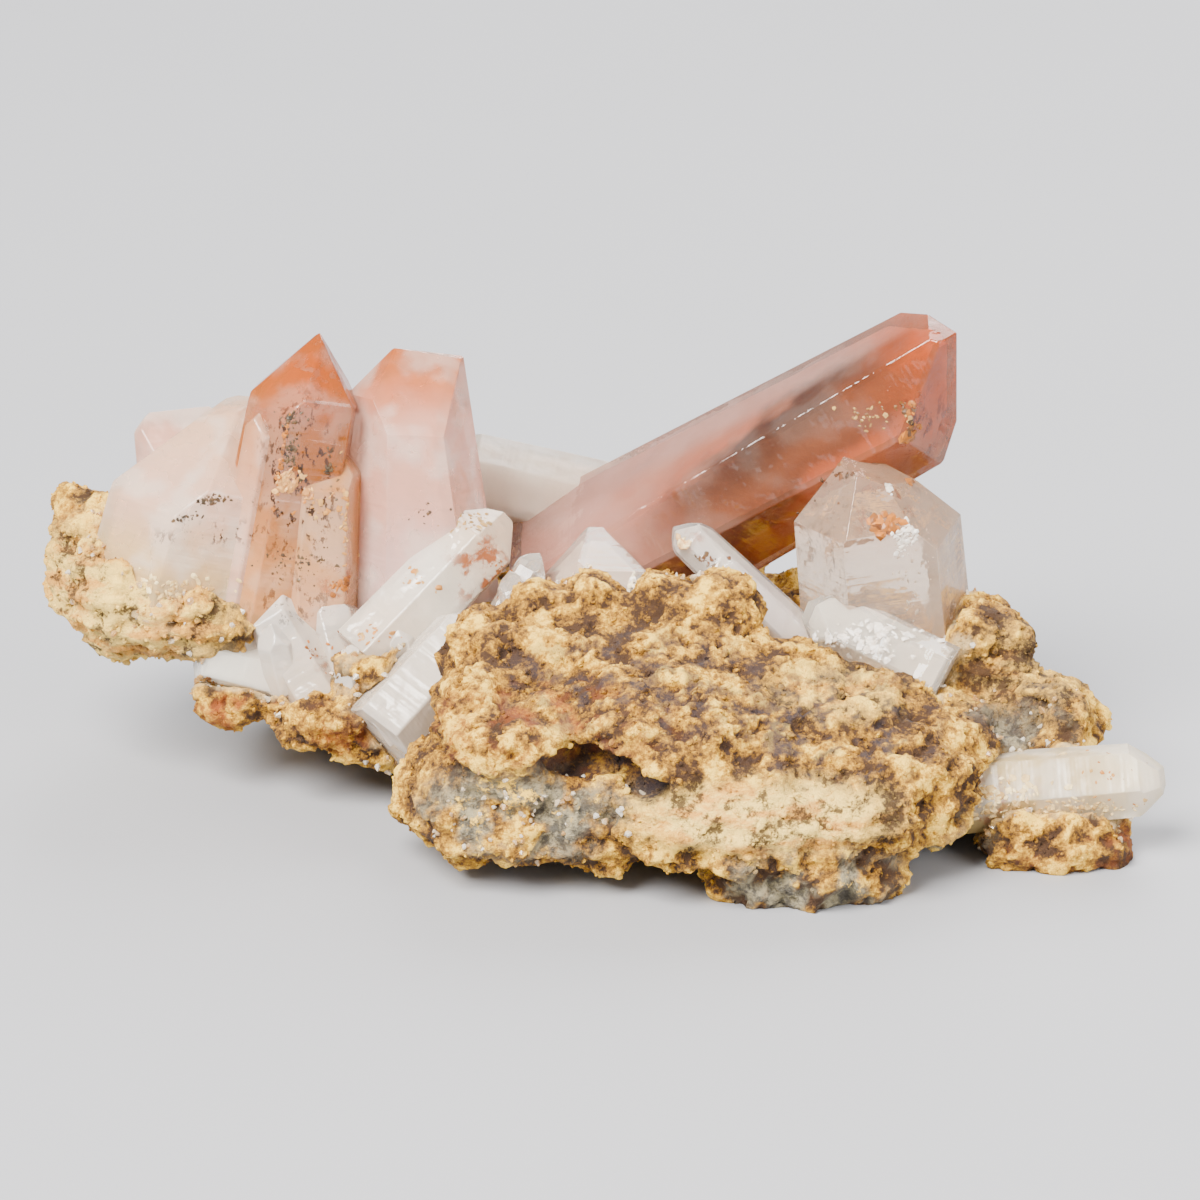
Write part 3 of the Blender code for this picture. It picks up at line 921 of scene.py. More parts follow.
@dataclass
class CrystalCluster:
    """Crystals grown together: one clear solid, and the milky clouds inside it."""

    name: str
    node: str
    slot: str
    crystals: tuple[Crystal, ...]
    finish: QuartzFinish
    milk: MilkFinish
    edge: float = 0.09
    longest: float = 0.55
    veil: Colour = paint(255, 246, 234)
    veil_size: float = 2.4
    smudge: float = 0.14
    smudge_size: float = 1.7
    growth_gap: float = 40.0

    def paint_on(self, mesh: bpy.types.Mesh, inside: bool = False) -> None:
        """Gives each face's corners the tint, frost, stain and specks of the crystal that owns the face.

        Args:
            mesh: The mesh to paint.
            inside: True for what lies inside the crystals.
        """
        count = len(mesh.polygons)
        middles = rows(mesh.polygons, "center") / MM
        depths = np.array([crystal.depth(middles) for crystal in self.crystals])
        owners = depths.argmin(axis=0) if inside else np.abs(depths).argmin(axis=0)
        corners = np.empty(len(mesh.loops), dtype=np.int64)
        mesh.loops.foreach_get("vertex_index", corners)
        sides = np.empty(count, dtype=np.int64)
        mesh.polygons.foreach_get("loop_total", sides)
        owner = np.repeat(owners, sides)
        vertices = places(mesh)
        veils = ease(-0.1, 0.35, clouds(vertices, self.veil_size, 3, 13.0))[corners]
        smudges = self.smudge * ease(-0.1, 0.6, clouds(vertices, self.smudge_size, 4, 19.0))[corners]
        points = vertices[corners]
        tint = np.ones((len(points), 3))
        frost = np.zeros(len(points))
        along = np.zeros(len(points))
        for number, crystal in enumerate(self.crystals):
            mine = owner == number
            if not mine.any():
                continue
            veil = veils[mine] * (crystal.look.white if inside else min(0.6, 2.0 * crystal.look.frost))
            veil = np.maximum(veil, 0.35 * crystal.look.white if inside else 0.0)[:, None]
            tint[mine] = crystal.tint(points[mine]) * (1 - veil) + np.array(self.veil) * veil
            frost[mine] = crystal.look.frost + smudges[mine]
            along[mine] = crystal.along(points[mine]) + self.growth_gap * number
        store(mesh, "tint", tint, "CORNER")
        store(mesh, "frost", frost, "CORNER")
        store(mesh, "along", along, "CORNER")
        store(mesh, "stain", patched(vertices, STAINS))
        store(mesh, "specks", patched(vertices, SPECKLED))

    def make_solid(self) -> bpy.types.Object:
        """Fuses the crystals into one solid.

        Returns:
            The finished piece.
        """
        first, *others = self.crystals
        whole = shown(first.solid(edge=self.edge), f"{self.name}_rough")
        helpers = []
        for crystal in others:
            helper = shown(crystal.solid(edge=self.edge), f"{crystal.name}_helper")
            fuse = whole.modifiers.new(crystal.name, "BOOLEAN")
            fuse.operation = "UNION"
            fuse.solver = "EXACT"
            fuse.object = helper
            helpers.append(helper)
        piece = plain_mesh(whole, self.name)
        for helper in helpers:
            bpy.data.objects.remove(helper, do_unlink=True)
        bm = bmesh.new()
        bm.from_mesh(piece.data)
        split_long_edges(bm, self.longest * MM)
        bm.to_mesh(piece.data)
        bm.free()
        self.paint_on(piece.data)
        piece.data.materials.clear()
        piece.data.materials.append(self.finish.material())
        return piece

    def make_milk(self) -> bpy.types.Object | None:
        """Builds the milky clouds, each a shrunken, rippled copy of its crystal.

        Returns:
            One piece with all of them, or None if every crystal is clear.
        """
        cloudy = [crystal for crystal in self.crystals if crystal.look.milk > 0]
        if not cloudy:
            return None
        bm = bmesh.new()
        for crystal in cloudy:
            core = crystal.solid(grown=-crystal.look.milk)
            mesh = bpy.data.meshes.new("core")
            core.to_mesh(mesh)
            core.free()
            bm.from_mesh(mesh)
            bpy.data.meshes.remove(mesh)
        split_long_edges(bm, self.longest * MM)
        piece = shown(bm, f"{self.name}_milk")
        self.paint_on(piece.data, inside=True)
        piece.data.materials.append(self.milk.material())
        return piece

    def build(self) -> list[bpy.types.Object]:
        """Builds the cluster and joins it to the model.

        Returns:
            Its pieces.
        """
        solid = self.make_solid()
        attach(solid, "root")
        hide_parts(self.node)
        milk = self.make_milk()
        if milk is None:
            return [solid]
        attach(milk, "root")
        return [solid, milk]


@dataclass
class RockPlate:
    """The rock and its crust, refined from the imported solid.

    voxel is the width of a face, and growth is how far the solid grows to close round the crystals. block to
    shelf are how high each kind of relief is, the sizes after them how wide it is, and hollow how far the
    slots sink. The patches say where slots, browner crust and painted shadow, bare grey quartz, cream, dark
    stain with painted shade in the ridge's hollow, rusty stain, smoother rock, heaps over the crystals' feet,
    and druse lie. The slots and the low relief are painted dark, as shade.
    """

    crystals: tuple[Crystal, ...]
    voxel: float = 0.26
    growth: float = 0.28
    block: float = 0.42
    puff: float = 0.34
    lump: float = 0.12
    crumb: float = 0.09
    pit: float = 0.30
    grain: float = 0.12
    shelf: float = 0.40
    block_size: float = 3.2
    puff_size: float = 1.9
    lump_size: float = 1.3
    crumb_size: float = 0.6
    pit_size: float = 1.1
    grain_size: float = 0.36
    shelf_size: float = 4.0
    shelf_height: float = 1.6
    hollow: float = 1.4
    relief_range: float = 0.62
    heap_margin: float = 1.7
    held_back: float = 0.25
    slots: tuple[Patch, ...] = (
        Patch((-0.6, -14.2, 7.4), (3.0, 2.6, 0.8)),
        Patch((2.4, -14.4, 6.6), (1.4, 2.4, 0.8), 0.9),
        Patch((22.2, -4.0, 6.4), (2.4, 2.0, 1.6), 0.7),
    )
    # These darken the relief: browner crust on the ridge, and painted shadow in the ridge's hollow and low
    # down near the floor.
    browned_and_shadowed: tuple[Patch, ...] = (
        Patch((22.5, -1.0, 7.5), (5.4, 6.0, 4.6), 0.2),
        Patch((21.6, -4.4, 6.6), (2.8, 3.0, 1.6), 0.5),
        Patch((10.5, -15.0, 1.2), (6.4, 4.0, 2.2), 0.25),
        Patch((-2.0, -10.0, 8.6), (7.0, 4.0, 2.6), 0.12),
        Patch((26.0, -8.0, 0.8), (4.6, 4.0, 1.6), 0.15),
    )
    grey: tuple[Patch, ...] = (
        Patch((-4.2, -13.8, 4.6), (6.6, 4.0, 2.8)),
        Patch((10.5, -14.5, 1.4), (5.6, 4.0, 2.6)),
        Patch((17.5, -9.6, 2.0), (3.2, 3.0, 2.4)),
        Patch((21.8, -4.6, 5.4), (3.6, 3.0, 2.2), 0.8),
    )
    cream: tuple[Patch, ...] = (
        Patch((8.2, -15.0, 5.2), (7.6, 4.0, 2.0), 0.9),
        Patch((-25.5, 5.0, 9.6), (7.0, 8.0, 5.4), 0.8),
        Patch((22.5, 0.0, 7.0), (5.0, 5.0, 3.2), 0.2),
        Patch((13.0, -9.0, 9.6), (5.0, 3.0, 1.6), 0.3),
    )
    dark: tuple[Patch, ...] = (
        Patch((2.0, -9.0, 9.6), (9.0, 6.0, 3.2), 0.8),
        Patch((12.0, -10.6, 8.2), (7.0, 5.4, 3.0)),
        Patch((-24.0, 4.0, 7.6), (6.0, 5.0, 1.8), 0.5),
        # This patch lies in the ridge's hollow, so it is partly painted shade and partly dark stain.
        Patch((21.8, -3.6, 7.6), (4.0, 3.0, 1.6), 0.9),
    )
    level: tuple[Patch, ...] = (
        Patch((8.2, -15.4, 5.2), (7.0, 4.0, 2.0), 0.35),
        Patch((-4.2, -14.2, 4.6), (6.6, 4.0, 2.8), 0.15),
    )
    heaps: tuple[Patch, ...] = (
        Patch((-27.2, 4.2, 11.0), (1.2, 1.8, 2.3)),
        Patch((-25.8, 2.5, 10.3), (1.5, 1.3, 2.4)),
        Patch((-23.8, 1.9, 9.8), (1.7, 1.1, 2.0)),
        Patch((-21.6, 1.8, 9.4), (1.6, 1.0, 1.8)),
        Patch((-19.9, 2.2, 9.0), (1.2, 0.9, 1.3)),
        Patch((0.4, 15.7, 6.4), (2.4, 1.3, 2.4)),
        Patch((-1.4, 15.4, 8.0), (3.2, 1.3, 2.0)),
        Patch((4.8, 14.8, 8.0), (2.0, 1.5, 1.7)),
        Patch((-13.2, -1.6, 5.2), (1.2, 1.0, 0.9)),
        Patch((20.4, -5.2, 5.2), (2.2, 1.3, 0.8)),
    )
    sugared: tuple[Patch, ...] = (
        Patch((-1.5, -1.6, 12.0), (3.6, 3.0, 2.0)),
        Patch((4.6, -2.6, 12.4), (2.4, 2.4, 2.0), 0.7),
        Patch((22.0, -4.0, 6.2), (4.0, 4.0, 3.0), 0.22),
        Patch((-4.2, -13.8, 4.6), (6.0, 4.0, 2.4), 0.35),
    )
    rust: tuple[Patch, ...] = (
        Patch((-19.6, 2.0, 4.8), (3.2, 3.0, 1.6)),
        Patch((-13.6, -0.4, 4.6), (3.0, 3.0, 1.6), 0.8),
        Patch((-2.0, -11.0, 8.4), (8.0, 4.0, 2.4), 0.6),
        Patch((24.6, -8.0, 0.8), (4.6, 3.4, 1.4), 0.7),
    )

    def heaped(self, points: np.ndarray) -> np.ndarray:
        """How much of each point belongs to a heap of crust, from 0 to 1."""
        wider = tuple(Patch(h.centre, tuple(self.heap_margin * r for r in h.reach)) for h in self.heaps)
        return patched(points, wider)

    def clearance(self, points: np.ndarray) -> np.ndarray:
        """How far points lie outside the nearest crystal, negative inside."""
        return np.min([crystal.depth(points) for crystal in self.crystals], axis=0)

    def refined(self) -> bpy.types.Object:
        """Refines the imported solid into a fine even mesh, grown to close round the crystals.

        Returns:
            The object, still smooth.
        """
        bm = bmesh.new()
        bm.from_mesh(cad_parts["matrix"].data)
        bmesh.ops.remove_doubles(bm, verts=bm.verts[:], dist=1e-6)
        for heap in self.heaps:
            ball = bmesh.ops.create_icosphere(bm, subdivisions=3, radius=MM)["verts"]
            bmesh.ops.scale(bm, vec=heap.reach, verts=ball)
            bmesh.ops.translate(bm, vec=Vector(heap.centre) * MM, verts=ball)
        rough = shown(bm, "rock_rough")
        for number in range(2):
            fine = rough.modifiers.new(f"fine_{number}", "REMESH")
            fine.mode = "VOXEL"
            fine.voxel_size = self.voxel * MM
            if number == 0:
                grow = rough.modifiers.new("grow", "DISPLACE")
                grow.strength = self.growth * MM
                grow.mid_level = 0.0
        return plain_mesh(rough, "crusted_rock")

    def roughen(self, mesh: bpy.types.Mesh) -> np.ndarray:
        """Moves the vertices along their normals into lumps, crumbs and pits.

        Args:
            mesh: The refined mesh.

        Returns:
            How high each vertex stands on its surroundings, from 0 to 1, and 0 in the slots. The crust paints
            it as shade: dark in hollows and slots, light on tops.
        """
        points = places(mesh)
        normals = rows(mesh.vertices, "normal")
        bend = np.column_stack([clouds(points, 1.1, 2, shift) for shift in (0.0, 11.0, 23.0)])
        warped = points + 0.25 * bend
        blocks = 0.5 - cells(points + 0.8 * bend, self.block_size, 15.0)
        puffs = clouds(warped, self.puff_size, 5, 3.0)
        lumps = 0.55 - cells(warped, self.lump_size, 5.0)
        crumbs = 0.5 - cells(warped, self.crumb_size, 9.0)
        pits = ease(0.18, 0.42, clouds(points, self.pit_size, 3, 31.0))
        fine = clouds(points, self.grain_size, 3, 47.0)
        wavy = points[:, 2] + 0.9 * clouds(points, self.shelf_size, 3, 53.0)
        layer = wavy / self.shelf_height % 1.0
        shelves = (ease(0.0, 0.8, layer) - ease(0.86, 1.0, layer) - 0.4) * (1 - np.abs(normals[:, 2]))
        height = self.puff * puffs + self.lump * lumps + self.crumb * crumbs
        height = height - self.pit * pits + self.grain * fine
        height = height * (1 - patched(points, self.level))
        # Painted shade: the height before blocks, shelves and slots sets the crust's colour, dark in hollows
        # and light on tops.
        shade = np.clip(0.5 + height / self.relief_range, 0, 1)
        height = height + self.block * blocks + self.shelf * shelves
        height = height - self.hollow * patched(points, self.slots)
        free = np.maximum(ease(-0.3, 0.5, self.clearance(points)), 0.8 * self.heaped(points))
        share = self.held_back + (1 - self.held_back) * free
        move_vertices(mesh, points + normals * (height * share)[:, None])
        # The slots get 0, so their cavities are painted dark in the crust's colour, as shade.
        return shade * (1 - patched(points, self.slots))

    def build(self) -> bpy.types.Object:
        """Builds the rock and joins it to the model.

        Returns:
            The finished piece.
        """
        rock = self.refined()
        mesh = rock.data
        before = places(mesh)
        relief = self.roughen(mesh)
        points = places(mesh)
        away = self.clearance(before)
        broad = clouds(points, 3.0, 4, 71.0)
        blots = ease(0.04, 0.18, clouds(points, 0.95, 4, 83.0) + 0.25 * broad)
        rusty = ease(-0.1, 0.3, clouds(points, 1.4, 3, 91.0))
        patchy = ease(-0.28, 0.06, clouds(points, 1.9, 4, 97.0))
        # The relief loses its painted shadow and browner tone where the browned_and_shadowed patches lie.
        store(mesh, "relief", np.clip(relief + 0.16 * broad - patched(points, self.browned_and_shadowed), 0, 1))
        store(mesh, "grey", patched(points, self.grey) * patchy)
        store(mesh, "cream", patched(points, self.cream))
        blotched = 0.85 * patched(points, self.dark) * blots
        # Painted shade: the slots are painted dark as well as the real dark blotches.
        store(mesh, "dark", np.maximum(blotched, patched(before, self.slots)))
        store(mesh, "rust", 0.85 * patched(points, self.rust) * rusty)
        joint = ease(0.55, 0.05, away + 0.5 * clouds(points, 1.2, 3, 61.0))
        store(mesh, "druse", 0.7 * joint * (1 - self.heaped(before)))
        top_edge = patched(points, self.sugared)
        near = ease(1.3, 0.3, away) * ease(-0.25, 0.1, away)
        store(mesh, "sparkling", np.maximum(near * 0.25, top_edge))
        bare = patched(points, self.grey)
        clear = np.maximum(ease(-0.05, 0.5, away), self.heaped(points) * ease(-0.5, -0.2, away))
        store(mesh, "crusty", clear * ease(0.3, 1.2, points[:, 2]) * (1 - 0.7 * bare))
        mesh.shade_smooth()
        mesh.materials.clear()
        mesh.materials.append(CrustFinish().material())
        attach(rock, "root")
        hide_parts("matrix")
        return rock


class GrainShape(Enum):
    """The shapes that are scattered over the rock."""

    GRAIN = 1
    CRUMB = 2
    POINT = 3


@dataclass
class Scatter:
    """Many small things strewn over a surface, as one joined piece.

    zone names the attribute that says where they lie, and varies the one that each gets at random. per_mm2 is
    how many lie on a square millimetre, and small and large are the least and greatest radius.
    """

    name: str
    shape: GrainShape
    zone: str
    per_mm2: float
    small: float
    large: float
    seed: int
    finish: bpy.types.Material
    slot: str
    varies: str = "relief"
    own: float = 0.45

    def tree(self) -> tuple[bpy.types.NodeTree, dict[str, str]]:
        """Builds the node tree.

        Returns:
            The tree, and the identifier of each of its named inputs.
        """
        tree = bpy.data.node_groups.new(self.name, "GeometryNodeTree")
        face = tree.interface
        names = {}
        face.new_socket("Geometry", in_out="INPUT", socket_type="NodeSocketGeometry")
        kinds = {"Density": "Float", "Small": "Float", "Large": "Float", "Seed": "Int", "Finish": "Material"}
        for label, kind in kinds.items():
            socket = face.new_socket(label, in_out="INPUT", socket_type=f"NodeSocket{kind}")
            names[label] = socket.identifier
        face.new_socket("Geometry", in_out="OUTPUT", socket_type="NodeSocketGeometry")

        nodes = NodeGraph(tree)
        given = nodes.add("NodeGroupInput").outputs
        rising = self.shape is GrainShape.POINT
        often = {0: nodes.named(self.zone), 1: given["Density"]}
        density = nodes.add("ShaderNodeMath", often, operation="MULTIPLY")
        strewn = nodes.add("GeometryNodeDistributePointsOnFaces", {
            "Mesh": given["Geometry"], "Density": density.outputs["Value"], "Seed": given["Seed"],
        })
        shade = {0: self.own, 2: nodes.named(self.varies), 3: nodes.chance(self.seed + 1, 0.0, 1.0)}
        mixed = nodes.add("ShaderNodeMix", shade, data_type="FLOAT")
        kept = {"Name": self.varies, "Geometry": strewn.outputs["Points"], "Value": mixed.outputs[0]}
        keep = nodes.add("GeometryNodeStoreNamedAttribute", kept, data_type="FLOAT", domain="POINT")
        if rising:
            cone = {"Vertices": 6, "Radius Top": 0.28, "Radius Bottom": 0.85, "Depth": 1.5}
            unit = nodes.add("GeometryNodeMeshCone", cone)
        else:
            unit = nodes.add("GeometryNodeMeshIcoSphere", {"Subdivisions": self.shape.value})
        swing = 0.6 if rising else math.pi
        spin = nodes.chance(self.seed + 2, (-swing, -swing, -math.pi), (swing, swing, math.pi))
        turn = {"Rotation": strewn.outputs["Rotation"], "Rotate By": spin}
        turned = nodes.add("FunctionNodeRotateRotation", turn, rotation_space="LOCAL")
        scale = nodes.chance(self.seed + 3, given["Small"], given["Large"])
        stretch = nodes.chance(self.seed + 4, (0.6, 0.6, 0.4), (1.5, 1.5, 1.1))
        sized = nodes.add("ShaderNodeVectorMath", {0: stretch, "Scale": scale}, operation="SCALE")
        laid = nodes.add("GeometryNodeInstanceOnPoints", {
            "Points": keep.outputs["Geometry"], "Instance": unit.outputs["Mesh"],
            "Rotation": turned.outputs["Rotation"], "Scale": sized.outputs["Vector"],
        })
        real = nodes.add("GeometryNodeRealizeInstances", {"Geometry": laid.outputs["Instances"]})
        ripple = nodes.add("ShaderNodeTexNoise", {"Scale": 0.8 / (self.large * MM)})
        middle = {0: ripple.outputs["Color"], 1: (0.5, 0.5, 0.5)}
        centred = nodes.add("ShaderNodeVectorMath", middle, operation="SUBTRACT")
        rough = 0.3 if rising else 1.2
        push = {0: centred.outputs["Vector"], "Scale": rough * self.large * MM}
        pushed = nodes.add("ShaderNodeVectorMath", push, operation="SCALE")
        shaped = nodes.add("GeometryNodeSetPosition", {
            "Geometry": real.outputs["Geometry"], "Offset": pushed.outputs["Vector"],
        })
        dressed = nodes.add("GeometryNodeSetMaterial", {
            "Geometry": shaped.outputs["Geometry"], "Material": given["Finish"],
        })
        nodes.add("NodeGroupOutput", {"Geometry": dressed.outputs["Geometry"]})
        return tree, names

    def build(self, ground: bpy.types.Object) -> bpy.types.Object:
        """Strews the pieces over a surface and joins them to the model.

        Args:
            ground: The piece that they lie on.

        Returns:
            One plain mesh with all of them.
        """
        tree, names = self.tree()
        strewn = placed(f"{self.name}_strewn", ground.data.copy())
        modifier = strewn.modifiers.new(self.name, "NODES")
        modifier.node_group = tree
        modifier[names["Density"]] = self.per_mm2 / MM ** 2
        modifier[names["Small"]] = self.small * MM
        modifier[names["Large"]] = self.large * MM
        modifier[names["Seed"]] = self.seed
        modifier[names["Finish"]] = self.finish
        piece = plain_mesh(strewn, self.name)
        move_vertices(piece.data, places(piece.data))
        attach(piece, "root")
        return piece


@dataclass(frozen=True)
class Deposit:
    """A cluster of tiny lumps: dirt on the crystals' faces, or flakes inside a crystal."""

    centre: Point
    reach: Point
    count: int
    size: float
    low: Colour
    high: Colour
    inside: bool = False


RUST_LOW = paint(92, 46, 4)
RUST_HIGH = paint(188, 108, 8)
SOIL_LOW = paint(190, 150, 84)
SOIL_HIGH = paint(248, 226, 168)
LOAM_LOW = paint(188, 122, 56)
LOAM_HIGH = paint(230, 176, 104)
SOOT_LOW = paint(34, 30, 22)
SOOT_HIGH = paint(86, 68, 40)
SNOW_LOW = paint(226, 214, 198)
SNOW_HIGH = paint(248, 242, 234)

DEPOSITS = (
    Deposit((16.1, 3.4, 20.8), (0.6, 1.0, 0.5), 14, 0.20, SOOT_LOW, RUST_HIGH),
    Deposit((17.6, 3.6, 18.9), (0.8, 1.0, 0.8), 34, 0.26, SOOT_LOW, RUST_HIGH),
    Deposit((14.2, 3.4, 20.3), (2.2, 1.0, 0.8), 40, 0.13, RUST_LOW, SOIL_LOW),
    Deposit((11.8, 2.0, 18.2), (0.6, 1.0, 0.4), 10, 0.17, SOOT_LOW, RUST_LOW),
    Deposit((15.1, 0.5, 15.6), (0.8, 0.6, 0.8), 46, 0.30, RUST_LOW, RUST_HIGH),
    Deposit((16.3, 0.4, 14.9), (0.7, 0.6, 1.2), 70, 0.16, SNOW_LOW, SNOW_HIGH),
    Deposit((15.9, 1.6, 17.6), (0.4, 0.6, 0.3), 8, 0.2, SNOW_LOW, SNOW_HIGH),
    Deposit((13.2, 2.6, 15.2), (1.8, 1.4, 0.9), 24, 0.13, SOOT_LOW, SOOT_HIGH, True),
    Deposit((16.4, 3.2, 12.0), (1.2, 1.6, 2.4), 30, 0.09, SNOW_LOW, SNOW_HIGH, True),
    Deposit((12.4, 3.4, 15.8), (1.2, 1.2, 1.0), 16, 0.10, SOOT_LOW, RUST_LOW, True),
    Deposit((4.0, 3.4, 13.6), (0.8, 0.6, 0.5), 44, 0.22, LOAM_LOW, SOIL_HIGH),
    Deposit((14.0, -0.7, 9.6), (3.6, 1.1, 1.2), 130, 0.22, SNOW_LOW, SNOW_HIGH),
    Deposit((5.6, 3.0, 12.6), (1.2, 0.6, 0.3), 24, 0.12, SOOT_HIGH, RUST_LOW),
    Deposit((0.4, 0.4, 12.4), (1.4, 0.8, 0.7), 60, 0.30, SOIL_HIGH, SNOW_HIGH),
    Deposit((0.8, 0.6, 11.6), (0.9, 0.8, 0.3), 24, 0.11, RUST_LOW, RUST_HIGH),
    Deposit((-5.3, 2.9, 11.8), (0.35, 0.8, 1.1), 40, 0.15, RUST_LOW, RUST_HIGH),
    Deposit((-6.9, 4.4, 14.0), (1.5, 0.8, 0.4), 40, 0.14, SOOT_HIGH, SOIL_LOW),
    Deposit((-9.6, 2.6, 11.4), (0.5, 0.8, 0.3), 14, 0.16, SOIL_LOW, RUST_HIGH),
    Deposit((-16.3, 2.6, 17.0), (0.9, 0.7, 0.6), 90, 0.20, LOAM_LOW, LOAM_HIGH),
    Deposit((-17.0, 2.6, 18.2), (0.30, 0.6, 2.2), 60, 0.13, RUST_LOW, RUST_HIGH),
    Deposit((-16.2, 3.0, 18.8), (0.35, 0.8, 1.8), 60, 0.12, SOOT_LOW, SOOT_HIGH),
    Deposit((-16.6, 3.2, 20.4), (1.2, 0.8, 0.4), 40, 0.10, SOOT_LOW, SOOT_HIGH),
    Deposit((-14.2, 3.8, 17.4), (0.4, 0.8, 1.4), 26, 0.12, SOOT_LOW, SOOT_HIGH),
    Deposit((-15.2, 3.0, 15.8), (1.2, 0.8, 0.8), 20, 0.16, RUST_HIGH, SOIL_LOW),
    Deposit((-20.2, 1.6, 16.2), (1.0, 0.6, 0.25), 44, 0.11, SOOT_LOW, SOOT_HIGH),
    Deposit((-21.8, 1.6, 15.4), (0.8, 0.6, 0.25), 26, 0.11, SOOT_LOW, SOOT_HIGH),
    Deposit((-16.0, 2.4, 12.6), (2.2, 0.8, 0.8), 70, 0.09, SOOT_LOW, SOOT_HIGH),
    Deposit((-13.7, 2.8, 11.2), (1.0, 0.8, 0.35), 40, 0.16, RUST_LOW, RUST_HIGH),
    Deposit((-13.4, 3.2, 14.4), (0.35, 0.8, 2.4), 44, 0.14, RUST_HIGH, SOIL_LOW),
    Deposit((-14.6, 0.5, 8.6), (0.9, 0.7, 0.5), 34, 0.10, RUST_LOW, RUST_HIGH),
    Deposit((-12.6, 0.4, 6.8), (1.4, 0.7, 0.6), 40, 0.13, RUST_LOW, RUST_HIGH),
    Deposit((-12.2, 0.6, 9.2), (1.2, 0.7, 0.5), 20, 0.12, SOIL_LOW, RUST_HIGH),
    Deposit((-21.6, 1.0, 6.2), (1.6, 0.6, 0.4), 30, 0.18, RUST_LOW, SOIL_LOW),
    Deposit((-23.4, 1.4, 11.6), (3.4, 0.8, 0.7), 90, 0.18, SOIL_LOW, SOIL_HIGH),
    Deposit((-9.4, 3.4, 15.0), (1.0, 0.8, 0.6), 14, 0.10, SOOT_LOW, SOOT_HIGH),
    Deposit((20.2, -8.8, 3.6), (3.2, 0.9, 1.0), 190, 0.20, SOIL_LOW, SOIL_HIGH),
    Deposit((25.4, -9.0, 3.0), (3.0, 0.9, 0.5), 90, 0.16, SOIL_LOW, SOIL_HIGH),
    Deposit((26.6, -8.4, 4.4), (1.8, 0.9, 1.0), 20, 0.12, RUST_HIGH, SOIL_LOW),
    Deposit((-13.0, 8.6, 12.0), (2.6, 3.0, 1.6), 40, 0.22, RUST_LOW, SOIL_HIGH),
    Deposit((-4.0, 16.6, 12.2), (3.0, 1.0, 1.0), 40, 0.18, SOIL_LOW, SOIL_HIGH),
)


@dataclass
class DirtAndFlakes:
    """Iron stain, soil and soot on the crystals, and the flakes inside the clear one."""

    deposits: tuple[Deposit, ...]
    seed: int = 71
    jitter: float = 0.28
    flatness: float = 0.4
    shade: Colour = paint(120, 78, 40)

    def finish(self) -> bpy.types.Material:
        """Builds the material.

        Returns:
            The material, tinted by each lump's own colour.
        """
        finish = Finish("crystal_dirt")
        shaded = finish.step(finish.noise(0.3, 3.0, 0.6, 2.0), 0.35, 0.65, 0.0, 0.35)
        finish.give(Base_Color=finish.blend(shaded, finish.colour_of("tint"), self.shade))
        finish.give(Roughness=finish.step(finish.noise(0.4), 0.4, 0.6, 0.4, 0.85))
        return finish.material

    def build(self, crystals: list[bpy.types.Object]) -> bpy.types.Object:
        """Lays the lumps on the crystals' faces and joins them to the model.

        Args:
            crystals: The crystal pieces that carry them.

        Returns:
            One piece with all of them.
        """
        chance = np.random.default_rng(self.seed)
        ball = bmesh.new()
        bmesh.ops.create_icosphere(ball, subdivisions=1, radius=1.0)
        corners = np.array([v.co for v in ball.verts])
        faces = np.array([[v.index for v in f.verts] for f in ball.faces])
        ball.free()
        vertices = []
        triangles = []
        for crystal in crystals:
            start = sum(len(part) for part in vertices)
            vertices.append(places(crystal.data))
            triangles += [[start + i for i in face.vertices] for face in crystal.data.polygons]
        surface = BVHTree.FromPolygons(np.vstack(vertices).tolist(), triangles)
        points = []
        tints = []
        for deposit in self.deposits:
            for _ in range(deposit.count):
                spot = Vector(np.array(deposit.centre) + chance.normal(0, 0.5, 3) * np.array(deposit.reach))
                turned = Euler(chance.uniform(-math.pi, math.pi, 3)).to_matrix()
                stretch = chance.uniform(0.5, 1.3, 3) * (deposit.size * chance.uniform(0.3, 1.2))
                if not deposit.inside:
                    spot, upwards, _, _ = surface.find_nearest(spot)
                    spin = Matrix.Rotation(chance.uniform(-math.pi, math.pi), 3, "Z")
                    turned = upwards.to_track_quat("Z", "Y").to_matrix() @ spin
                    stretch[2] *= self.flatness
                turn = np.array(turned)
                lump = corners * stretch * (1 + self.jitter * chance.normal(0, 1, (len(corners), 1)))
                points.append(lump @ turn.T + np.array(spot))
                share = chance.uniform()
                colour = np.array(deposit.low) * (1 - share) + np.array(deposit.high) * share
                tints.append(np.repeat(colour[None], len(corners), axis=0))
        mesh = bpy.data.meshes.new("crystal_dirt")
        all_faces = [faces + len(corners) * number for number in range(len(points))]
        mesh.from_pydata((np.vstack(points) * MM).tolist(), [], np.vstack(all_faces).tolist())
        store(mesh, "tint", np.vstack(tints))
        piece = placed("crystal_dirt", mesh)
        mesh.materials.append(self.finish())
        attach(piece, "root")
        return piece


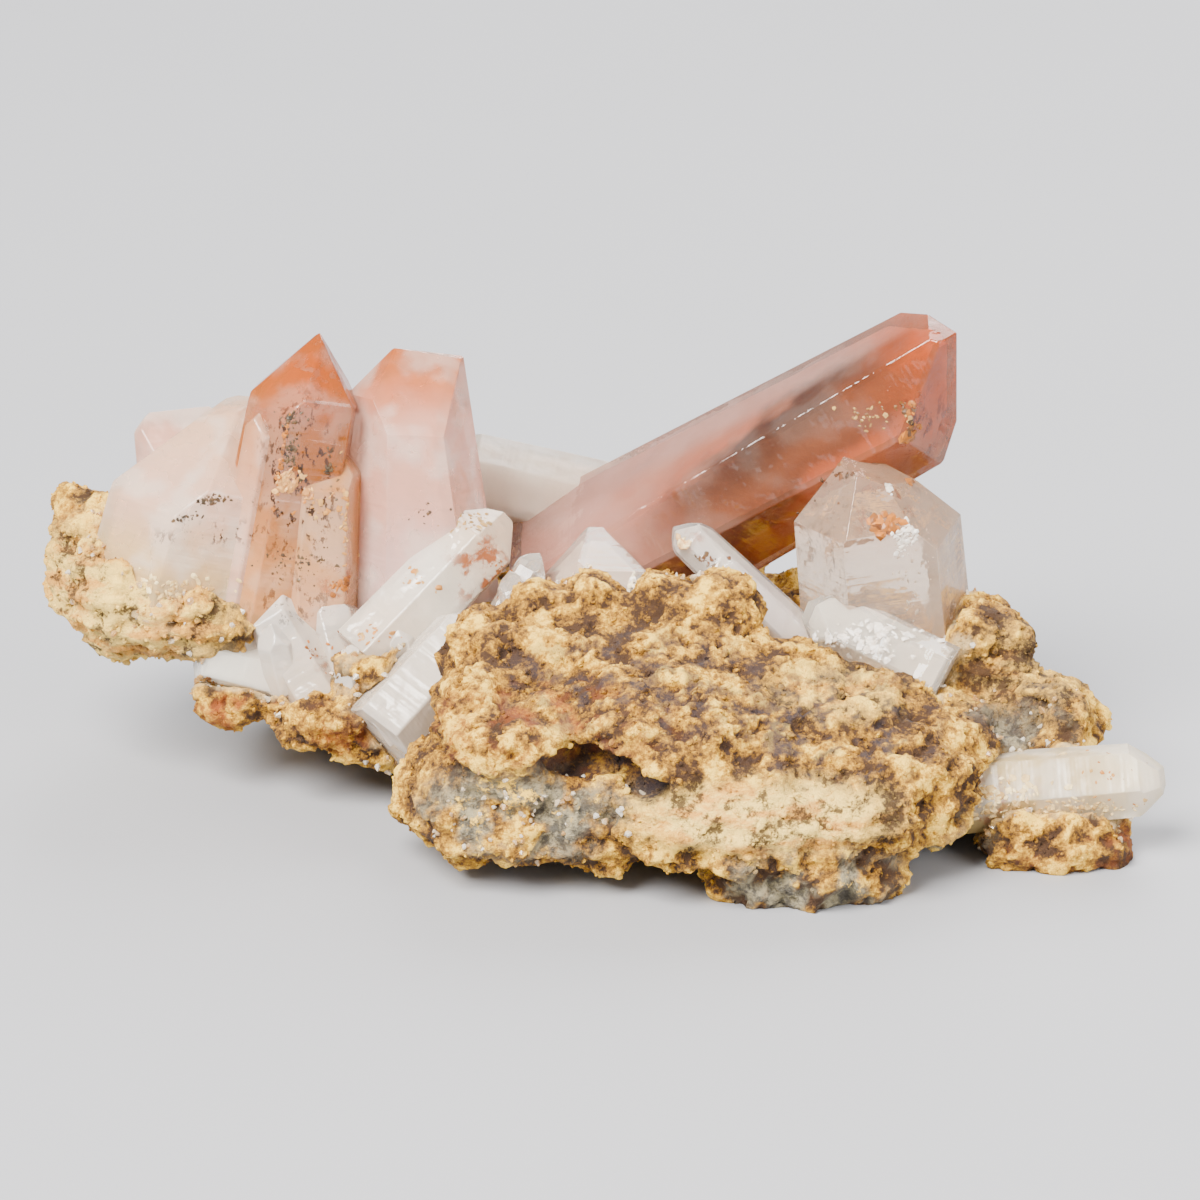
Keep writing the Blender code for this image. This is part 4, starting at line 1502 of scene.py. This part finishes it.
@dataclass
class Studio:
    """The pale floor, the soft lights and the camera."""

    camera_distance: float = 0.320
    focal_length: float = 180.54
    sensor_width: float = 36.0
    target_height: float = 0.0114
    floor_width: float = 6.0

    def make_floor(self) -> None:
        """Lays the floor under the object."""
        bm = bmesh.new()
        bmesh.ops.create_grid(bm, x_segments=8, y_segments=8, size=self.floor_width / 2)
        floor = shown(bm, "studio_floor")
        floor.data.materials.append(FloorFinish().material())

    def add_light(self, name: str, place: Point, width: float, power: float, colour: Colour) -> None:
        """Hangs one square soft light that faces the object.

        Args:
            name: The light's name.
            place: Where it hangs, in metres.
            width: Its width in metres.
            power: Its power in watts.
            colour: The colour of its light.
        """
        light = bpy.data.lights.new(name, "AREA")
        light.shape = "SQUARE"
        light.size = width
        light.energy = power
        light.color = colour
        item = placed(name, light)
        item.location = place
        away = Vector(place) - Vector((0, 0, self.target_height))
        item.rotation_euler = away.to_track_quat("Z", "Y").to_euler()

    def make_lights(self) -> None:
        """Sets the sky and hangs the lights."""
        world = bpy.data.worlds.new("studio")
        world.use_nodes = True
        sky = world.node_tree.nodes["Background"]
        sky.inputs["Color"].default_value = (0.97, 0.98, 1.0, 1.0)
        sky.inputs["Strength"].default_value = 0.6
        bpy.context.scene.world = world
        self.add_light("key", (-0.34, -0.42, 0.62), width=0.50, power=30.0, colour=(1.0, 0.965, 0.91))
        self.add_light("fill", (0.62, -0.46, 0.32), width=0.60, power=8.0, colour=(1.0, 0.99, 0.97))
        self.add_light("back", (0.20, 0.60, 0.50), width=0.55, power=8.0, colour=(1.0, 1.0, 1.0))

    def make_camera(self) -> None:
        """Sets the camera at the photograph's viewing angle."""
        data = bpy.data.cameras.new("camera")
        data.lens = self.focal_length
        data.sensor_width = self.sensor_width
        data.clip_start = 0.01
        camera = placed("camera", data)
        tilt = math.radians(VIEW_ELEVATION)
        offset = Vector((0, -math.cos(tilt), math.sin(tilt))) * self.camera_distance
        camera.location = Vector((0, 0, self.target_height)) + offset
        camera.rotation_euler = (math.pi / 2 - tilt, 0, 0)
        bpy.context.scene.camera = camera

    def build(self) -> None:
        """Builds the studio."""
        self.make_floor()
        self.make_lights()
        self.make_camera()


def report(piece: bpy.types.Object) -> None:
    """Logs a piece's name and how many faces it has."""
    log.info("%s: %d faces", piece.name, len(piece.data.polygons))


def main() -> None:
    """Builds the studio, the crystals, the rock and what is strewn over it."""
    logging.basicConfig(level=logging.INFO, format="%(name)s %(message)s")
    Studio().build()
    pink_milk = MilkFinish("pink_milk")
    left = CrystalCluster(
        "left_crystals", "left_crystal_cluster", "pale_quartz",
        (BROAD_CRYSTAL, STUB_BEHIND, ORANGE_POINT, ORANGE_FOOT, SIDE_BLADE, PINK_BLOCK, HOODED_CRYSTAL,
         SLANTING_CRYSTAL, LOW_CRYSTAL, EDGE_CRYSTAL, BRIGHT_BLOCK, *LEFT_FOOT_CRYSTALS),
        QuartzFinish("pale_quartz_faces", 0.60, (0.97, 0.90, 0.86), 25.0), pink_milk,
    )
    right = CrystalCluster(
        "right_crystals", "right_crystal_cluster", "salmon_quartz",
        (LONG_CRYSTAL, BACK_CRYSTAL, CLEAR_CRYSTAL, LEANING_PRISM, STOUT_CRYSTAL, WHITE_CRYSTAL,
         *RIGHT_FOOT_CRYSTALS),
        QuartzFinish("salmon_quartz_faces", 0.82, (0.96, 0.87, 0.83), 25.0), MilkFinish("white_milk"),
    )
    lying = CrystalCluster(
        "lying_crystal", "lying_prism", "clear_quartz", (LYING_PRISM,),
        QuartzFinish("clear_quartz_faces", 0.62, (0.96, 0.93, 0.89), 20.0), MilkFinish("lying_milk"),
    )
    solids = []
    for cluster in (left, right, lying):
        pieces = cluster.build()
        solids.append(pieces[0])
        for piece in pieces:
            report(piece)
    report(DirtAndFlakes(DEPOSITS).build(solids))
    every_crystal = left.crystals + right.crystals + lying.crystals
    rock = RockPlate(every_crystal).build()
    report(rock)
    crust = rock.data.materials[0]
    glitter = SparkFinish().material()
    # The crumbs and grains wear the crust's material and mostly the relief under them, so they carry its
    # painted shade and highlight too.
    for scatter in (
        Scatter(
            "crust_crumbs", GrainShape.CRUMB, "crusty", 0.42, 0.10, 0.22, 3, crust, "ochre_rock", own=0.25,
        ),
        Scatter(
            "crust_grains", GrainShape.GRAIN, "crusty", 2.1, 0.05, 0.14, 17, crust, "ochre_rock", own=0.3,
        ),
        Scatter(
            "druse_points", GrainShape.POINT, "sparkling", 3.6, 0.10, 0.24, 29, glitter, "clear_quartz",
            varies="shade", own=1.0,
        ),
    ):
        report(scatter.build(rock))


if __name__ == "__main__":
    main()
